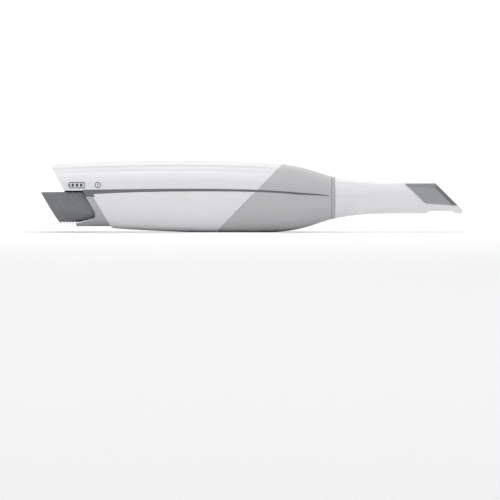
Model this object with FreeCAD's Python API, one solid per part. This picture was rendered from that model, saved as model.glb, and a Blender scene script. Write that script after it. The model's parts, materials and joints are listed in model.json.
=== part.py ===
import FreeCAD, Part
import math
import os

from FreeCAD import Vector

# Wireless intraoral camera: a handle with a slip-on scanning tip and a plug-in battery pack.
# The frame: +X along the optical axis to the tip, +Z up, origin under the middle of the
# whole length on the plane that the belly rests on. Millimetres throughout.

# ---------------------------------------------------------------- driving sizes
HANDLE_LENGTH = 185.1       # collar face to the rear point of the top shell
TIP_LENGTH = 83.4           # collar face to the front lip of the tip
BATTERY_OVERHANG = 5.5      # battery grip past the rear point of the top shell
HANDLE_WIDTH = 42.0
CROWN_HEIGHT = 24.85        # optical axis to the highest point of the top shell
BELLY_DEPTH = 22.35         # optical axis to the rest plane
COLLAR_RADIUS = 13.7
TIP_HEIGHT = 20.5
TIP_WIDTH = 18.4
SEAM_RISE = 5.0             # how far the side seam climbs above the optical axis

WALL = 2.0                  # handle shells
TIP_WALL = 1.4
TONGUE = 1.0                # thickness of the tongue behind the side seam
REAR_SLANT = math.radians(30)    # rear edges lean back from the vertical by this
FRONT_SPLIT = 55.1          # collar face to where the 45 degree colour split crosses the axis
BELLY_FLAT_DEPTH = 0.5      # the rounded belly goes this much deeper and is planed off to a flat

EDGE_ROUND = 0.4            # outer edges of the covers at their parting lines
FIT = 0.3                   # gap between parts that slide past or drop into each other
RUNNING = 0.05              # radial clearance of rods, axles and bores

# side profile of the handle, from the collar face to the rear:
# share of HANDLE_LENGTH, crown, belly, width and seam as shares of their full rise
# over the collar circle, then half the thickness of the seam trim in mm
HANDLE_STATIONS = [
    (0.000, 0.00, 0.00, 0.00, 0.05, 0.00),
    (0.042, 0.20, 0.23, 0.20, 0.35, 0.25),
    (0.106, 0.52, 0.63, 0.50, 0.50, 0.55),
    (0.170, 0.74, 0.87, 0.72, 0.69, 0.58),
    (0.254, 0.87, 0.96, 0.88, 0.87, 0.60),
    (0.344, 0.945, 0.98, 0.95, 0.96, 0.65),
    (0.490, 0.99, 0.94, 0.98, 1.00, 0.75),
    (0.614, 0.985, 0.86, 0.96, 0.97, 0.82),
    (0.743, 0.945, 0.72, 0.89, 0.88, 0.95),
    (0.851, 0.89, 0.57, 0.77, 0.77, 1.30),
    (1.000, 0.74, 0.37, 0.50, 0.70, 1.30),
    (1.060, 0.67, 0.29, 0.40, 0.68, 1.30),
]
CROWN_POWER = 2.7           # how square the upper half of a handle section is
BELLY_POWER = 2.3

# the tip from the collar face to its end: share of TIP_LENGTH, share of the flare
# from tip size up to the collar circle, and how square the section is
TIP_STATIONS = [
    (0.000, 1.00, 2.0),
    (0.047, 0.76, 2.05),
    (0.094, 0.57, 2.15),
    (0.140, 0.41, 2.3),
    (0.188, 0.27, 2.45),
    (0.280, 0.10, 2.7),
    (0.377, 0.03, 2.9),
    (0.520, 0.00, 3.1),
    (0.664, 0.00, 3.3),
    (0.830, 0.00, 3.4),
    (1.000, 0.00, 3.4),
]

# ---------------------------------------------------------------- stations along X
AXIS_Z = BELLY_DEPTH
X_END = (HANDLE_LENGTH + TIP_LENGTH + BATTERY_OVERHANG) / 2
X_COLLAR = X_END - TIP_LENGTH
X_REAR = X_COLLAR - HANDLE_LENGTH
SIDE = HANDLE_WIDTH         # half extent of every side-view cutter, well past the handle

LIP = 2.0                   # thickness of the collar flange between nose and tip
SEAT_RADIUS = 10.4          # spigot that the tip slips over
SEAT_LENGTH = 6.0
SNOUT_RADIUS = 7.3
SNOUT_WALL = 1.0
SNOUT_REACH = 43.4          # snout past the collar face

BULKHEAD = 2.5
X_FRONT_BULKHEAD = X_COLLAR - 23.6          # front face of the front bulkhead
X_MID_BULKHEAD = X_FRONT_BULKHEAD - 21.5
X_REAR_BULKHEAD = X_COLLAR - 97.6           # front face of the rear bulkhead
BULKHEAD_INSET = WALL + TONGUE + 0.2

RAIL_Y = 11.5               # chassis side rails
RAIL_WIDTH = 2.0
RAIL_Z = AXIS_Z - 10.35
RAIL_HEIGHT = 5.0

BOARD_WIDTH = 26.0
BOARD = 1.6
BOARD_Z = AXIS_Z + 13.2     # underside of the main board

BUTTON_X = X_COLLAR - 57.6
BUTTON_RADIUS = 6.0
BUTTON_TRAVEL = 0.6
STATUS_RING = 1.1           # radial width of the light ring round the button

FOCUS_X = (X_MID_BULKHEAD + X_FRONT_BULKHEAD - BULKHEAD) / 2
FOCUS_TRAVEL = 2.5
LENS_RADIUS = 5.0
CARRIAGE_RADIUS = 6.8
CARRIAGE_LENGTH = 6.0
ROD_RADIUS = 1.2
ROD_Y = 9.8
MODULE = 0.4
TEETH = 18
PITCH_RADIUS = MODULE * TEETH / 2
BACKLASH = 0.05
RACK_WIDTH = 2.6
PINION_WIDTH = 3.0
PINION_Z = AXIS_Z + CARRIAGE_RADIUS + 1.35 + PITCH_RADIUS
WEIGHT_ROD_RADIUS = 0.6
WEIGHT_ROD_Y = 3.6
COIL_DROP = 11.3            # coil centre below the optical axis

LINER_INSET = WALL + TONGUE + FIT
LINER_WALL = 1.6
CASE_WALL = 1.2
BAY_TOP = AXIS_Z + 2.0      # inside ceiling of the battery bay
GRIP_TOP = AXIS_Z + 3.85
GRIP_BOTTOM = AXIS_Z - 16.25
GRIP_INSET = 1.3
BEZEL_INSET = 1.0
RIB_PITCH = 2.0
RIB_DEPTH = 0.4

MIRROR_SETBACK = 8.0        # the outer 45 degree face crosses the axis this far from the end
CAP_WALL = 1.6
MIRROR = 1.1
CAP_SIDE = 0.15             # cap side faces below the tip's flank
CAP_DROP = 0.9              # cap roof below the tip's roof
CAP_ROUND = 3.2
WINDOW_WIDTH = 12.4
WINDOW_LENGTH = 13.8

LOWER_SETBACK = 28.9        # rear edge of the bottom shell ahead of the top shell's rear point
SEAM_GAP = 0.1              # gap between covers that meet at a parting line
TRIM_RECESS = 0.35          # the side trims sit this far below the covers
TRIM_START = 4.0            # front point of the trims behind the collar face
TONGUE_REACH = 1.2
NOSE_GROOVE = 1.2
ROOF = 1.4
GRIP_WALL = 2.0
CELL_RADIUS = 5.0
CELL_STEP = 0.05            # cells come in sizes this far apart
CELL_LENGTH = 44.0
CELL_GAP = 0.3              # from a cell to the middle plane
CELL_ROOM = 0.2             # from a cell to the case
BAY_SETBACK = 6.0           # the bay has the handle's section this far behind the lower edge
PIN = 0.6
CONTACT_YS = (-6.0, -2.0, 2.0, 6.0)
CONTACT_Z = AXIS_Z - 6.0
LATCH_REACH = 0.7
SCREW = 1.6

SEAL = 1.2                  # section of the ring that seals the tip
X_SEAL = X_COLLAR + 1.8
X_DETENT = X_COLLAR + 4.4
DETENT_BALL = 0.7
DETENT_PROUD = 0.2

RING_FLANGE = 1.2           # thickness of the light ring's flange, and how far it reaches out
RING_ROOM = 0.4             # between that flange and the inside of the top shell
SEAL_SHEET = 0.4
STEM = 1.8
PLUNGER = 0.8
SWITCH_DROP = 1.0           # top of the switch below the light ring
MAGNET_RADIUS = 2.6
COIL_Z = AXIS_Z - COIL_DROP
WEIGHT_ROD_Z = PINION_Z + PITCH_RADIUS + 1.9
SNOUT_FLANGE = 3.0
SNOUT_SCREW_CIRCLE = 9.4
RELAY_PLACES = (8.0, 30.0)  # relay lenses, from the collar face
RACK_LINE = PINION_Z - PITCH_RADIUS
WEIGHT_LINE = PINION_Z + PITCH_RADIUS
RACK_HALF = FOCUS_TRAVEL + 3.5
AXLE = 0.8
CAGE_Y = 3.2
BOBBIN_BORE = MAGNET_RADIUS + 0.4
COIL_RADIUS = 4.3
COIL_HALF = 3.5
CUBE = 12.0
X_SPLITTER = X_MID_BULKHEAD - BULKHEAD - CUBE / 2 - 3
X_SENSOR_BOARD = X_SPLITTER - 21
IMAGE_LENS = 5.4
LIGHT_BORE = 4.2
HEATER = 0.25
X_FACE = X_END - MIRROR_SETBACK
X_CAP_REAR = X_FACE - 20.3
TIP_GAP = 0.15              # tip to collar face

CHIN_REACH = 11.9           # bezel's chin behind the lower edge
BEZEL_SECTION = 7.6         # the bezel has the handle's section this far ahead of that edge
GRIP_CORNER_Z = AXIS_Z - 12.35              # rounded front corner of the grip
GRIP_CLIP = 15.2            # how far back the clipped corner reaches at the grip's foot
GRIP_SECTION = 6.5          # the grip has the handle's section this far ahead of its rear point
PIN_BOARD = 1.0             # thickness of the bay's contact board
PIN_BOARD_HALF = 9.0
CONTACT_HALF = 3.0          # half height of the contact board
SPRING_NEAR = 6.3           # ends of the latch spring, behind the bay's front wall
SPRING_FAR = 19.7
SPRING_SLOT = 0.3           # room round the latch spring in its slot
SPRING_HALF = 2.2
SPRING_LEAF = 0.5
SPRING_BACK = 0.4
SPRING_FOOT = 1.1
NUB_RADIUS = 1.6
NUB_HALF = 3.0
PAD_HALF_WIDTH = 1.2
PAD_HALF_HEIGHT = 1.6
PACK_BOARD = 1.2
PACK_BOARD_HALF = 8.0

SHELF_HALF_LENGTH = 3.2     # shelves for the main board
SHELF_HALF_WIDTH = 2.4
SHELF_HEIGHT = 3.0
PATH_LIP = 0.5              # bore of the bulkheads inside the carriage ring's outline
DOOR_HALF = 9.0             # opening through the rear bulkhead
DOOR_LOW = 5.0              # its lower edge below the axis
DOOR_HIGH = 9.0             # its upper edge above the axis
SCREW_HEAD = 1.1
SCREW_SLOT = 0.5            # width and depth of the slot in a screw's head
SCREW_GRIP = 2.8            # length of a screw's shank below the board
CAN_X = 8.0                 # shield can and antenna, from the rear bulkhead
CAN_HALF_LENGTH = 5.0
CAN_HALF_WIDTH = 6.0
CAN_HEIGHT = 2.0
CAN_SHEET = 0.2
ANTENNA_X = 1.4
ANTENNA_HALF_LENGTH = 0.8
ANTENNA_HALF_WIDTH = 4.5
ANTENNA_HEIGHT = 1.2
FLEX = 0.2                  # thickness of the ribbons
SENSOR_FLEX_HALF = 4.0
POWER_FLEX_HALF = 3.0
POWER_FLEX_Z = AXIS_Z + 6.0
POWER_FLEX_REACH = 4.0      # past the rear bulkhead

RELAY_LENS = (2.8, 1.4)     # thickness in the middle and at the edge
FOCUS_LENS = (3.6, 1.6)
SMALL_LENS = (2.6, 1.2)
WINDOW_GLASS = 1.3
WINDOW_SINK = 0.3           # snout window below the snout's rim
SPACER_WALL = 0.7
SPACER_REACH = 0.9          # spacer's ends from the middle of each relay lens
RACK_BACK = 0.8             # body of a rack under its teeth
ROD_BOSS = 1.0              # wall of the carriage's bosses
WEB_HALF = 1.2              # half height of the webs to the bosses
BOBBIN_WEB = 0.5            # half thickness of the web between the coil's halves
BOBBIN_WALL = 0.4
BOBBIN_RIM = 0.6
YOKE_GAP = 1.0
YOKE_WALL = 0.8
CAGE_PLATE = 1.0
CAGE_HALF = 2.0
MOUNT_DROP = 9.3            # foot of the splitter's mount below the cube
MOUNT_EDGE = 1.0
MOUNT_CHEEK = 1.8
EMITTER_HALF = 1.5
EMITTER = 0.8
LIGHT_BOARD = 1.0
LIGHT_BOARD_HALF = 7.5
LIGHT_LENS_DROP = 6.0       # below the cube
GRID_DROP = 3.6
GRID = 0.5
SINK_PLATE = 0.8
SINK_FIN = 1.4
SINK_PITCH = 1.8
SINK_FINS = 7
BARREL_GAP = 1.0            # imaging barrel behind the cube
BARREL_FLANGE = 3.0
BARREL_FOOT = 9.3
BARREL_HEAD = 8.6
IMAGE_LENS_STEPS = (-3.5, -8.0)
SENSOR = 1.6
SENSOR_HALF = 5.5
SENSOR_ROOM = 1.0           # pocket round the sensor
SENSOR_BOARD_HALF = 8.0
FIN_PLATE = 1.2
FIN_REACH = 6.0
FIN_PITCH = 2.2
FIN = 0.7


# ---------------------------------------------------------------- helpers
def box(x0, x1, y0, y1, z0, z1):
    return Part.makeBox(x1 - x0, y1 - y0, z1 - z0, Vector(x0, y0, z0))


def bar(x0, x1, half_y, z0, z1):
    """A box that is symmetric about the XZ plane."""
    return box(x0, x1, -half_y, half_y, z0, z1)


def rod_x(x0, x1, radius, y=0.0, z=AXIS_Z):
    return Part.makeCylinder(radius, x1 - x0, Vector(x0, y, z), Vector(1, 0, 0))


def rod_y(half_length, radius, x, z):
    return Part.makeCylinder(radius, 2 * half_length, Vector(x, -half_length, z), Vector(0, 1, 0))


def rod_z(z0, z1, radius, x, y=0.0):
    return Part.makeCylinder(radius, z1 - z0, Vector(x, y, z0), Vector(0, 0, 1))


def tube_x(x0, x1, outer, inner, y=0.0, z=AXIS_Z):
    return rod_x(x0, x1, outer, y, z).cut(rod_x(x0 - 1, x1 + 1, inner, y, z))


def tube_z(z0, z1, outer, inner, x, y=0.0):
    return rod_z(z0, z1, outer, x, y).cut(rod_z(z0 - 1, z1 + 1, inner, x, y))


def rounded_wire(corners):
    """A closed wire in the XZ plane through (x, z, radius) corners."""
    count = len(corners)
    starts, ends, arcs = [], [], []
    for i, (x, z, radius) in enumerate(corners):
        here = Vector(x, 0, z)
        back = Vector(corners[i - 1][0], 0, corners[i - 1][1]).sub(here).normalize()
        ahead_corner = corners[(i + 1) % count]
        ahead = Vector(ahead_corner[0], 0, ahead_corner[1]).sub(here).normalize()
        if radius <= 0:
            starts.append(here)
            ends.append(here)
            arcs.append(None)
            continue
        half = back.getAngle(ahead) / 2
        reach = radius / math.tan(half)
        enter = here.add(Vector(back).multiply(reach))
        leave = here.add(Vector(ahead).multiply(reach))
        bisector = back.add(ahead).normalize()
        middle = here.add(bisector.multiply(radius / math.sin(half) - radius))
        starts.append(enter)
        ends.append(leave)
        arcs.append(Part.Arc(enter, middle, leave).toShape())
    edges = []
    for i in range(count):
        if arcs[i]:
            edges.append(arcs[i])
        edges.append(Part.makeLine(ends[i], starts[(i + 1) % count]))
    return Part.Wire(edges)


def wide(face, half_y=SIDE):
    """Extrudes a side-view face across the whole width."""
    face.translate(Vector(0, -half_y, 0))
    return face.extrude(Vector(0, 2 * half_y, 0))


def side_prism(corners, half_y=SIDE):
    return wide(Part.Face(rounded_wire(corners)), half_y)


def fuse(first, *others):
    return first.multiFuse(list(others)).removeSplitter()


def save(name, *solids):
    """Writes one node. Several solids stay separate inside it."""
    found = [s for shape in solids for s in shape.Solids]
    shape = found[0] if len(found) == 1 else Part.makeCompound(found)
    shape.exportStep("parts/" + name + ".step")


# ---------------------------------------------------------------- handle form
def at_station(x, column):
    """A column of HANDLE_STATIONS at any x, by straight interpolation."""
    share = (X_COLLAR - x) / HANDLE_LENGTH
    rows = HANDLE_STATIONS
    for low, high in zip(rows, rows[1:]):
        if share <= high[0]:
            t = (share - low[0]) / (high[0] - low[0])
            return low[column] + t * (high[column] - low[column])
    return rows[-1][column]


def handle_radii(x):
    """Crown rise, belly depth and half width from the optical axis at x."""
    crown = COLLAR_RADIUS + at_station(x, 1) * (CROWN_HEIGHT - COLLAR_RADIUS)
    belly = COLLAR_RADIUS + at_station(x, 2) * (BELLY_DEPTH + BELLY_FLAT_DEPTH - COLLAR_RADIUS)
    half_width = COLLAR_RADIUS + at_station(x, 3) * (HANDLE_WIDTH / 2 - COLLAR_RADIUS)
    return crown, belly, half_width


def seam_z(x):
    return AXIS_Z + SEAM_RISE * at_station(x, 4)


def power_radius(angle, half_width, height, power):
    """Distance from the centre of a rounded-square half section to its outline."""
    across = abs(math.cos(angle)) / half_width
    along = abs(math.sin(angle)) / height
    return (across**power + along**power) ** (-1 / power)


def section_wire(x, up, down, half_width, centre_z, up_power, down_power):
    """A closed smooth section across X, widest at centre_z."""
    points = []
    steps = 32
    for i in range(steps):
        angle = 2 * math.pi * (i + 0.5) / steps
        height, power = (up, up_power) if i < steps / 2 else (down, down_power)
        radius = power_radius(angle, half_width, height, power)
        points.append(Vector(x, radius * math.cos(angle), centre_z + radius * math.sin(angle)))
    curve = Part.BSplineCurve()
    curve.interpolate(Points=points, PeriodicFlag=True)
    return Part.Wire(curve.toShape())


def section_powers(x):
    """How square the upper and lower halves are: round at the collar, full a third of the way out."""
    share = min(1, 1.5 * at_station(x, 3))
    return 2 + (CROWN_POWER - 2) * share, 2 + (BELLY_POWER - 2) * share


def handle_section(x, inset, at=None):
    """The handle's section at x, drawn at x or at another place along X."""
    crown, belly, half_width = handle_radii(x)
    centre = seam_z(x)
    up = crown - (centre - AXIS_Z) - inset
    down = belly + (centre - AXIS_Z) - inset
    up_power, down_power = section_powers(x)
    place = x if at is None else at
    return section_wire(place, up, down, half_width - inset, centre, up_power, down_power)


def handle_form(inset):
    xs = [X_COLLAR - row[0] * HANDLE_LENGTH for row in HANDLE_STATIONS]
    return Part.makeLoft([handle_section(x, inset) for x in xs], True, False)


def handle_prism(x_section, inset, x0, x1):
    """A straight bar along X with the handle's section at x_section."""
    face = Part.Face(handle_section(x_section, inset, x0))
    return face.extrude(Vector(x1 - x0, 0, 0))


def inner_half_width(x, z, inset):
    """Half width of the belly half of the inset section at height z."""
    crown, belly, half_width = handle_radii(x)
    down = belly + seam_z(x) - AXIS_Z - inset
    share = min(1.0, (seam_z(x) - z) / down)
    return (half_width - inset) * (1 - share**BELLY_POWER) ** (1 / BELLY_POWER)


def crown_z(x, y, inset):
    """Height of the inset form's crown at x, a distance y from the middle plane."""
    crown, belly, half_width = handle_radii(x)
    power = section_powers(x)[0]
    up = crown - (seam_z(x) - AXIS_Z) - inset
    return seam_z(x) + up * (1 - (y / (half_width - inset)) ** power) ** (1 / power)


def seam_edge(side, gap):
    """The upper (side +1) or lower (side -1) edge of the trim strip, moved out by gap."""
    points = []
    for row in HANDLE_STATIONS:
        z = AXIS_Z + SEAM_RISE * row[4] + side * (row[5] + gap)
        points.append(Vector(X_COLLAR - row[0] * HANDLE_LENGTH, 0, z))
    curve = Part.BSplineCurve()
    curve.interpolate(points)
    return curve.toShape(), points[0], points[-1]


def beyond_seam(side, gap):
    """Everything above (+1) or below (-1) the trim strip, at least gap away from it."""
    edge, front, rear = seam_edge(side, gap)
    far = AXIS_Z + side * SIDE
    front_corner = Vector(front.x, 0, far)
    rear_corner = Vector(rear.x, 0, far)
    edges = [edge, Part.makeLine(rear, rear_corner)]
    edges.append(Part.makeLine(rear_corner, front_corner))
    edges.append(Part.makeLine(front_corner, front))
    return wide(Part.Face(Part.Wire(edges)))


def seam_band(gap):
    """The strip's own side view, thicker by gap above and below."""
    upper, upper_front, upper_rear = seam_edge(+1, gap)
    lower, lower_front, lower_rear = seam_edge(-1, gap)
    edges = [upper, Part.makeLine(upper_rear, lower_rear), lower]
    if upper_front.distanceToPoint(lower_front) > 1e-6:
        edges.append(Part.makeLine(lower_front, upper_front))
    return wide(Part.Face(Part.Wire(Part.__sortEdges__(edges))))


# ---------------------------------------------------------------- side-view regions
def slant_x(x_at_axis, z):
    """A rear edge's x at height z. It leans back as it rises."""
    return x_at_axis + (AXIS_Z - z) * math.tan(REAR_SLANT)


def slant_band(x_rear, x_front, z0=-SIDE, z1=2 * SIDE):
    """A leaning slab, with its two faces given at the height of the axis."""
    return side_prism([
        (slant_x(x_rear, z0), z0, 0),
        (slant_x(x_front, z0), z0, 0),
        (slant_x(x_front, z1), z1, 0),
        (slant_x(x_rear, z1), z1, 0),
    ])


def behind_split(gap):
    return side_prism([
        (X_SPLIT - gap - 2 * SIDE, AXIS_Z - 2 * SIDE, 0),
        (X_SPLIT - gap + 2 * SIDE, AXIS_Z + 2 * SIDE, 0),
        (X_REAR - 2 * SIDE, AXIS_Z + 2 * SIDE, 0),
        (X_REAR - 2 * SIDE, AXIS_Z - 2 * SIDE, 0),
    ])


def slab_x(x0, x1):
    return bar(x0, x1, SIDE, AXIS_Z - 2 * SIDE, AXIS_Z + 2 * SIDE)


X_SPLIT = X_COLLAR - FRONT_SPLIT
X_TOP_EDGE = X_REAR + handle_radii(X_REAR)[0] * math.tan(REAR_SLANT)
X_LOWER_EDGE = X_REAR + LOWER_SETBACK
X_TRIM_REAR = X_LOWER_EDGE - 4.3
X_TRIM_FRONT = X_LOWER_EDGE + 1.4
TRIM_FOOT_Z = AXIS_Z + 0.85
X_GRIP_FRONT = X_LOWER_EDGE - 5.0
X_BAY_END = X_REAR_BULKHEAD - BULKHEAD - 3.0
LEANING_WALL = WALL / math.cos(REAR_SLANT)


def ring_height():
    """Underside of the light ring's flange, as high as the inside of the top shell lets it be."""
    radius = BUTTON_RADIUS + FIT + STATUS_RING + RING_FLANGE
    shares = [(math.cos(turn * math.pi / 6), math.sin(turn * math.pi / 6)) for turn in range(7)]
    ceiling = min(crown_z(BUTTON_X + radius * c, radius * d, WALL) for c, d in shares)
    return ceiling - RING_ROOM - RING_FLANGE


RING_Z = ring_height()
SWITCH_TOP = RING_Z - SWITCH_DROP


def below_rest_plane():
    """Trims the belly to the flat that the handle rests on."""
    return bar(X_REAR - SIDE, X_COLLAR, SIDE, -SIDE, 0)


# ---------------------------------------------------------------- handle covers
def top_shell():
    blank = handle_form(0).common(beyond_seam(+1, SEAM_GAP)).common(behind_split(SEAM_GAP))
    blank = blank.common(slant_band(X_TOP_EDGE, X_COLLAR + SIDE))
    blank = blank.makeFillet(EDGE_ROUND, blank.Edges)
    hollow = handle_form(WALL).common(slant_band(X_TOP_EDGE + LEANING_WALL, X_COLLAR + SIDE))
    shell = blank.cut(hollow)
    hole = rod_z(AXIS_Z, AXIS_Z + 2 * SIDE, BUTTON_RADIUS + FIT + STATUS_RING + RUNNING, BUTTON_X)
    return shell.cut(hole)


def bottom_shell():
    blank = handle_form(0).common(beyond_seam(-1, SEAM_GAP)).common(behind_split(SEAM_GAP))
    blank = blank.common(slant_band(X_LOWER_EDGE, X_COLLAR + SIDE))
    blank = blank.makeFillet(EDGE_ROUND, blank.Edges).cut(handle_form(WALL))
    tail = slant_band(X_TRIM_REAR - 1, X_TRIM_FRONT + SEAM_GAP, TRIM_FOOT_Z - SEAM_GAP)
    return blank.cut(tail).cut(below_rest_plane())


def nose_cover():
    """The front cover, back to the 45 degree split, with a shallow groove for the trim."""
    blank = handle_form(0).cut(behind_split(0)).common(slab_x(X_REAR, X_COLLAR - LIP - SEAM_GAP))
    blank = blank.makeFillet(EDGE_ROUND, blank.Edges).cut(handle_form(WALL))
    groove = seam_band(SEAM_GAP).common(slab_x(X_REAR, X_COLLAR - TRIM_START))
    return blank.cut(groove.cut(handle_form(NOSE_GROOVE))).cut(below_rest_plane())


def side_trims():
    """Both trims: a visible strip, a wider tongue behind the shells, and the rear tail."""
    skin = handle_form(TRIM_RECESS)
    strip = skin.cut(handle_form(WALL + SEAM_GAP)).common(behind_split(SEAM_GAP))
    inlay = skin.cut(handle_form(NOSE_GROOVE - RUNNING)).cut(behind_split(SEAM_GAP))
    inlay = inlay.common(slab_x(X_REAR, X_COLLAR - TRIM_START - SEAM_GAP))
    visible = strip.fuse(inlay).common(seam_band(0))
    visible = visible.common(slant_band(X_TRIM_REAR, X_COLLAR + SIDE))
    tongue = handle_form(WALL + SEAM_GAP).cut(handle_form(WALL + TONGUE))
    tongue = tongue.common(seam_band(TONGUE_REACH)).common(behind_split(2 * TONGUE_REACH))
    tongue = tongue.common(slant_band(X_TRIM_REAR, X_COLLAR + SIDE))
    foot = skin.cut(handle_form(WALL + TONGUE))
    foot = foot.common(slant_band(X_TRIM_REAR, X_TRIM_FRONT, TRIM_FOOT_Z, AXIS_Z + SEAM_RISE))
    foot = foot.cut(beyond_seam(+1, 0))
    both = visible.fuse([tongue, foot]).removeSplitter()
    left = [s for s in both.Solids if s.CenterOfMass.y > 0]
    right = [s for s in both.Solids if s.CenterOfMass.y < 0]
    return left, right


def tip_seat_collar():
    """The flange between nose and tip, with a spigot into the nose and one for the tip."""
    flange = handle_form(0).common(slab_x(X_COLLAR - LIP, X_COLLAR))
    flange = flange.makeFillet(EDGE_ROUND, flange.Edges)
    nose_spigot = rod_x(X_COLLAR - LIP - SEAT_LENGTH, X_COLLAR, COLLAR_RADIUS - WALL - SEAM_GAP)
    seat = rod_x(X_COLLAR, X_COLLAR + SEAT_LENGTH, SEAT_RADIUS)
    bore = rod_x(X_COLLAR - SIDE, X_COLLAR + SIDE, SNOUT_RADIUS + FIT)
    groove = tube_x(X_SEAL - SEAL / 2, X_SEAL + SEAL / 2, SEAT_RADIUS + 1, SEAT_RADIUS - SEAL)
    collar = fuse(flange, nose_spigot, seat).cut(bore).cut(groove)
    for ball in detent_balls(RUNNING):
        collar = collar.cut(ball)
    return collar


def detent_balls(extra):
    balls = []
    for turn in range(3):
        angle = math.pi / 2 + turn * 2 * math.pi / 3
        reach = SEAT_RADIUS - DETENT_BALL + DETENT_PROUD
        y = reach * math.cos(angle)
        z = AXIS_Z + reach * math.sin(angle)
        balls.append(Part.makeSphere(DETENT_BALL + extra, Vector(X_DETENT, y, z)))
    return balls


def tip_seal_ring():
    ring = Part.makeTorus(SEAT_RADIUS - SEAL / 2 + 0.05, SEAL / 2 - 0.05, Vector(X_SEAL, 0, AXIS_Z),
                          Vector(1, 0, 0))
    return ring


# ---------------------------------------------------------------- button
def status_ring():
    """The light guide: flush in the top shell, with a flange under it."""
    outer = BUTTON_RADIUS + FIT + STATUS_RING
    bore = BUTTON_RADIUS + FIT
    neck = tube_z(RING_Z, AXIS_Z + 2 * SIDE, outer, bore, BUTTON_X).common(handle_form(SEAM_GAP))
    flange = tube_z(RING_Z, RING_Z + RING_FLANGE, outer + RING_FLANGE, bore, BUTTON_X)
    return fuse(neck, flange)


def scan_button():
    cap = rod_z(RING_Z + BUTTON_TRAVEL + RUNNING, AXIS_Z + 2 * SIDE, BUTTON_RADIUS, BUTTON_X)
    cap = cap.common(handle_form(TRIM_RECESS))
    stem = rod_z(SWITCH_TOP + BUTTON_TRAVEL + RUNNING, RING_Z + 2 * BUTTON_TRAVEL, STEM, BUTTON_X)
    return fuse(cap, stem)


def button_seal():
    radius = BUTTON_RADIUS + FIT + STATUS_RING + RING_FLANGE
    return tube_z(RING_Z - SEAL_SHEET, RING_Z, radius, STEM + FIT, BUTTON_X)


def button_switch():
    z0 = BOARD_Z + BOARD
    body = bar(BUTTON_X - 3, BUTTON_X + 3, 3, z0, SWITCH_TOP - PLUNGER)
    return fuse(body, rod_z(SWITCH_TOP - PLUNGER, SWITCH_TOP, 1.5, BUTTON_X))


# ---------------------------------------------------------------- battery bay and pack
def grip_outline(grow):
    """The battery grip's side view, grown or shrunk all round."""
    face = Part.Face(rounded_wire([
        (X_REAR - BATTERY_OVERHANG, GRIP_TOP, 0),
        (slant_x(X_GRIP_FRONT, GRIP_TOP), GRIP_TOP, 0.6),
        (slant_x(X_GRIP_FRONT, GRIP_CORNER_Z), GRIP_CORNER_Z, 2.8),
        (slant_x(X_GRIP_FRONT, GRIP_BOTTOM) - GRIP_CLIP, GRIP_BOTTOM, 1.0),
        (X_REAR - BATTERY_OVERHANG + (GRIP_TOP - GRIP_BOTTOM) * math.tan(REAR_SLANT), GRIP_BOTTOM, 1.0),
    ]))
    return wide(face.makeOffset2D(grow) if grow else face)


def bay_section(inset, x0, x1, roof):
    """A straight bar with the section of the battery bay, flat on top."""
    bay = handle_prism(X_LOWER_EDGE - BAY_SETBACK, inset, x0, x1)
    return bay.common(bar(x0 - 1, x1 + 1, SIDE, AXIS_Z - SIDE, roof))


def bay_liner():
    """The light bezel round the grip, in one piece with the tube that takes the battery."""
    x_chin = X_LOWER_EDGE - CHIN_REACH
    bezel = handle_prism(X_LOWER_EDGE + BEZEL_SECTION, BEZEL_INSET, x_chin, X_LOWER_EDGE + SIDE)
    edge = slant_band(X_LOWER_EDGE - SIDE, X_LOWER_EDGE - SEAM_GAP, -SIDE, TRIM_FOOT_Z - SEAM_GAP)
    bezel = bezel.common(edge)
    ledge = handle_form(WALL + SEAM_GAP)
    ledge = ledge.common(slant_band(X_LOWER_EDGE - 1, X_LOWER_EDGE + 3, -SIDE, TRIM_FOOT_Z - SEAM_GAP))
    tube = bay_section(LINER_INSET, x_chin, X_BAY_END, BAY_TOP + LINER_WALL)
    liner = fuse(bezel, ledge, tube)
    liner = liner.cut(grip_outline(FIT))
    cavity = bay_section(LINER_INSET + LINER_WALL, X_REAR - SIDE, X_BAY_END - LINER_WALL, BAY_TOP)
    liner = liner.cut(cavity)
    for y in CONTACT_YS:
        liner = liner.cut(rod_x(X_BAY_END - 2 * LINER_WALL, X_BAY_END + 1, PIN + FIT, y, CONTACT_Z))
    spring_slot = bar(X_BAY_END - SPRING_FAR - SPRING_SLOT, X_BAY_END - SPRING_NEAR + SPRING_SLOT,
                      SPRING_HALF + SPRING_SLOT, BAY_TOP - 1, BAY_TOP + 2 * LINER_WALL)
    return liner.cut(spring_slot)


def bay_roof():
    """Closes the overhang of the top shell above the grip."""
    z0 = AXIS_Z + SEAM_RISE + 0.35
    plate = handle_form(WALL + SEAM_GAP).common(bar(X_REAR - SIDE, X_COLLAR, SIDE, z0, z0 + ROOF))
    plate = plate.common(slant_band(X_TOP_EDGE + LEANING_WALL + SEAM_GAP, X_LOWER_EDGE + 4))
    tongues = seam_band(TONGUE_REACH + SEAM_GAP).common(slant_band(X_TRIM_REAR - SEAM_GAP, X_COLLAR))
    return plate.cut(tongues.cut(handle_form(BULKHEAD_INSET)))


def bay_contacts():
    """A small board on the front wall of the bay, with one sprung pin to each battery pad."""
    board = bar(X_BAY_END, X_BAY_END + PIN_BOARD, PIN_BOARD_HALF,
                CONTACT_Z - CONTACT_HALF, CONTACT_Z + CONTACT_HALF)
    pieces = [board]
    for y in CONTACT_YS:
        pieces.append(rod_x(X_BAY_END - LINER_WALL - FIT / 2, X_BAY_END, PIN, y, CONTACT_Z))
    return fuse(*pieces)


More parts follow.
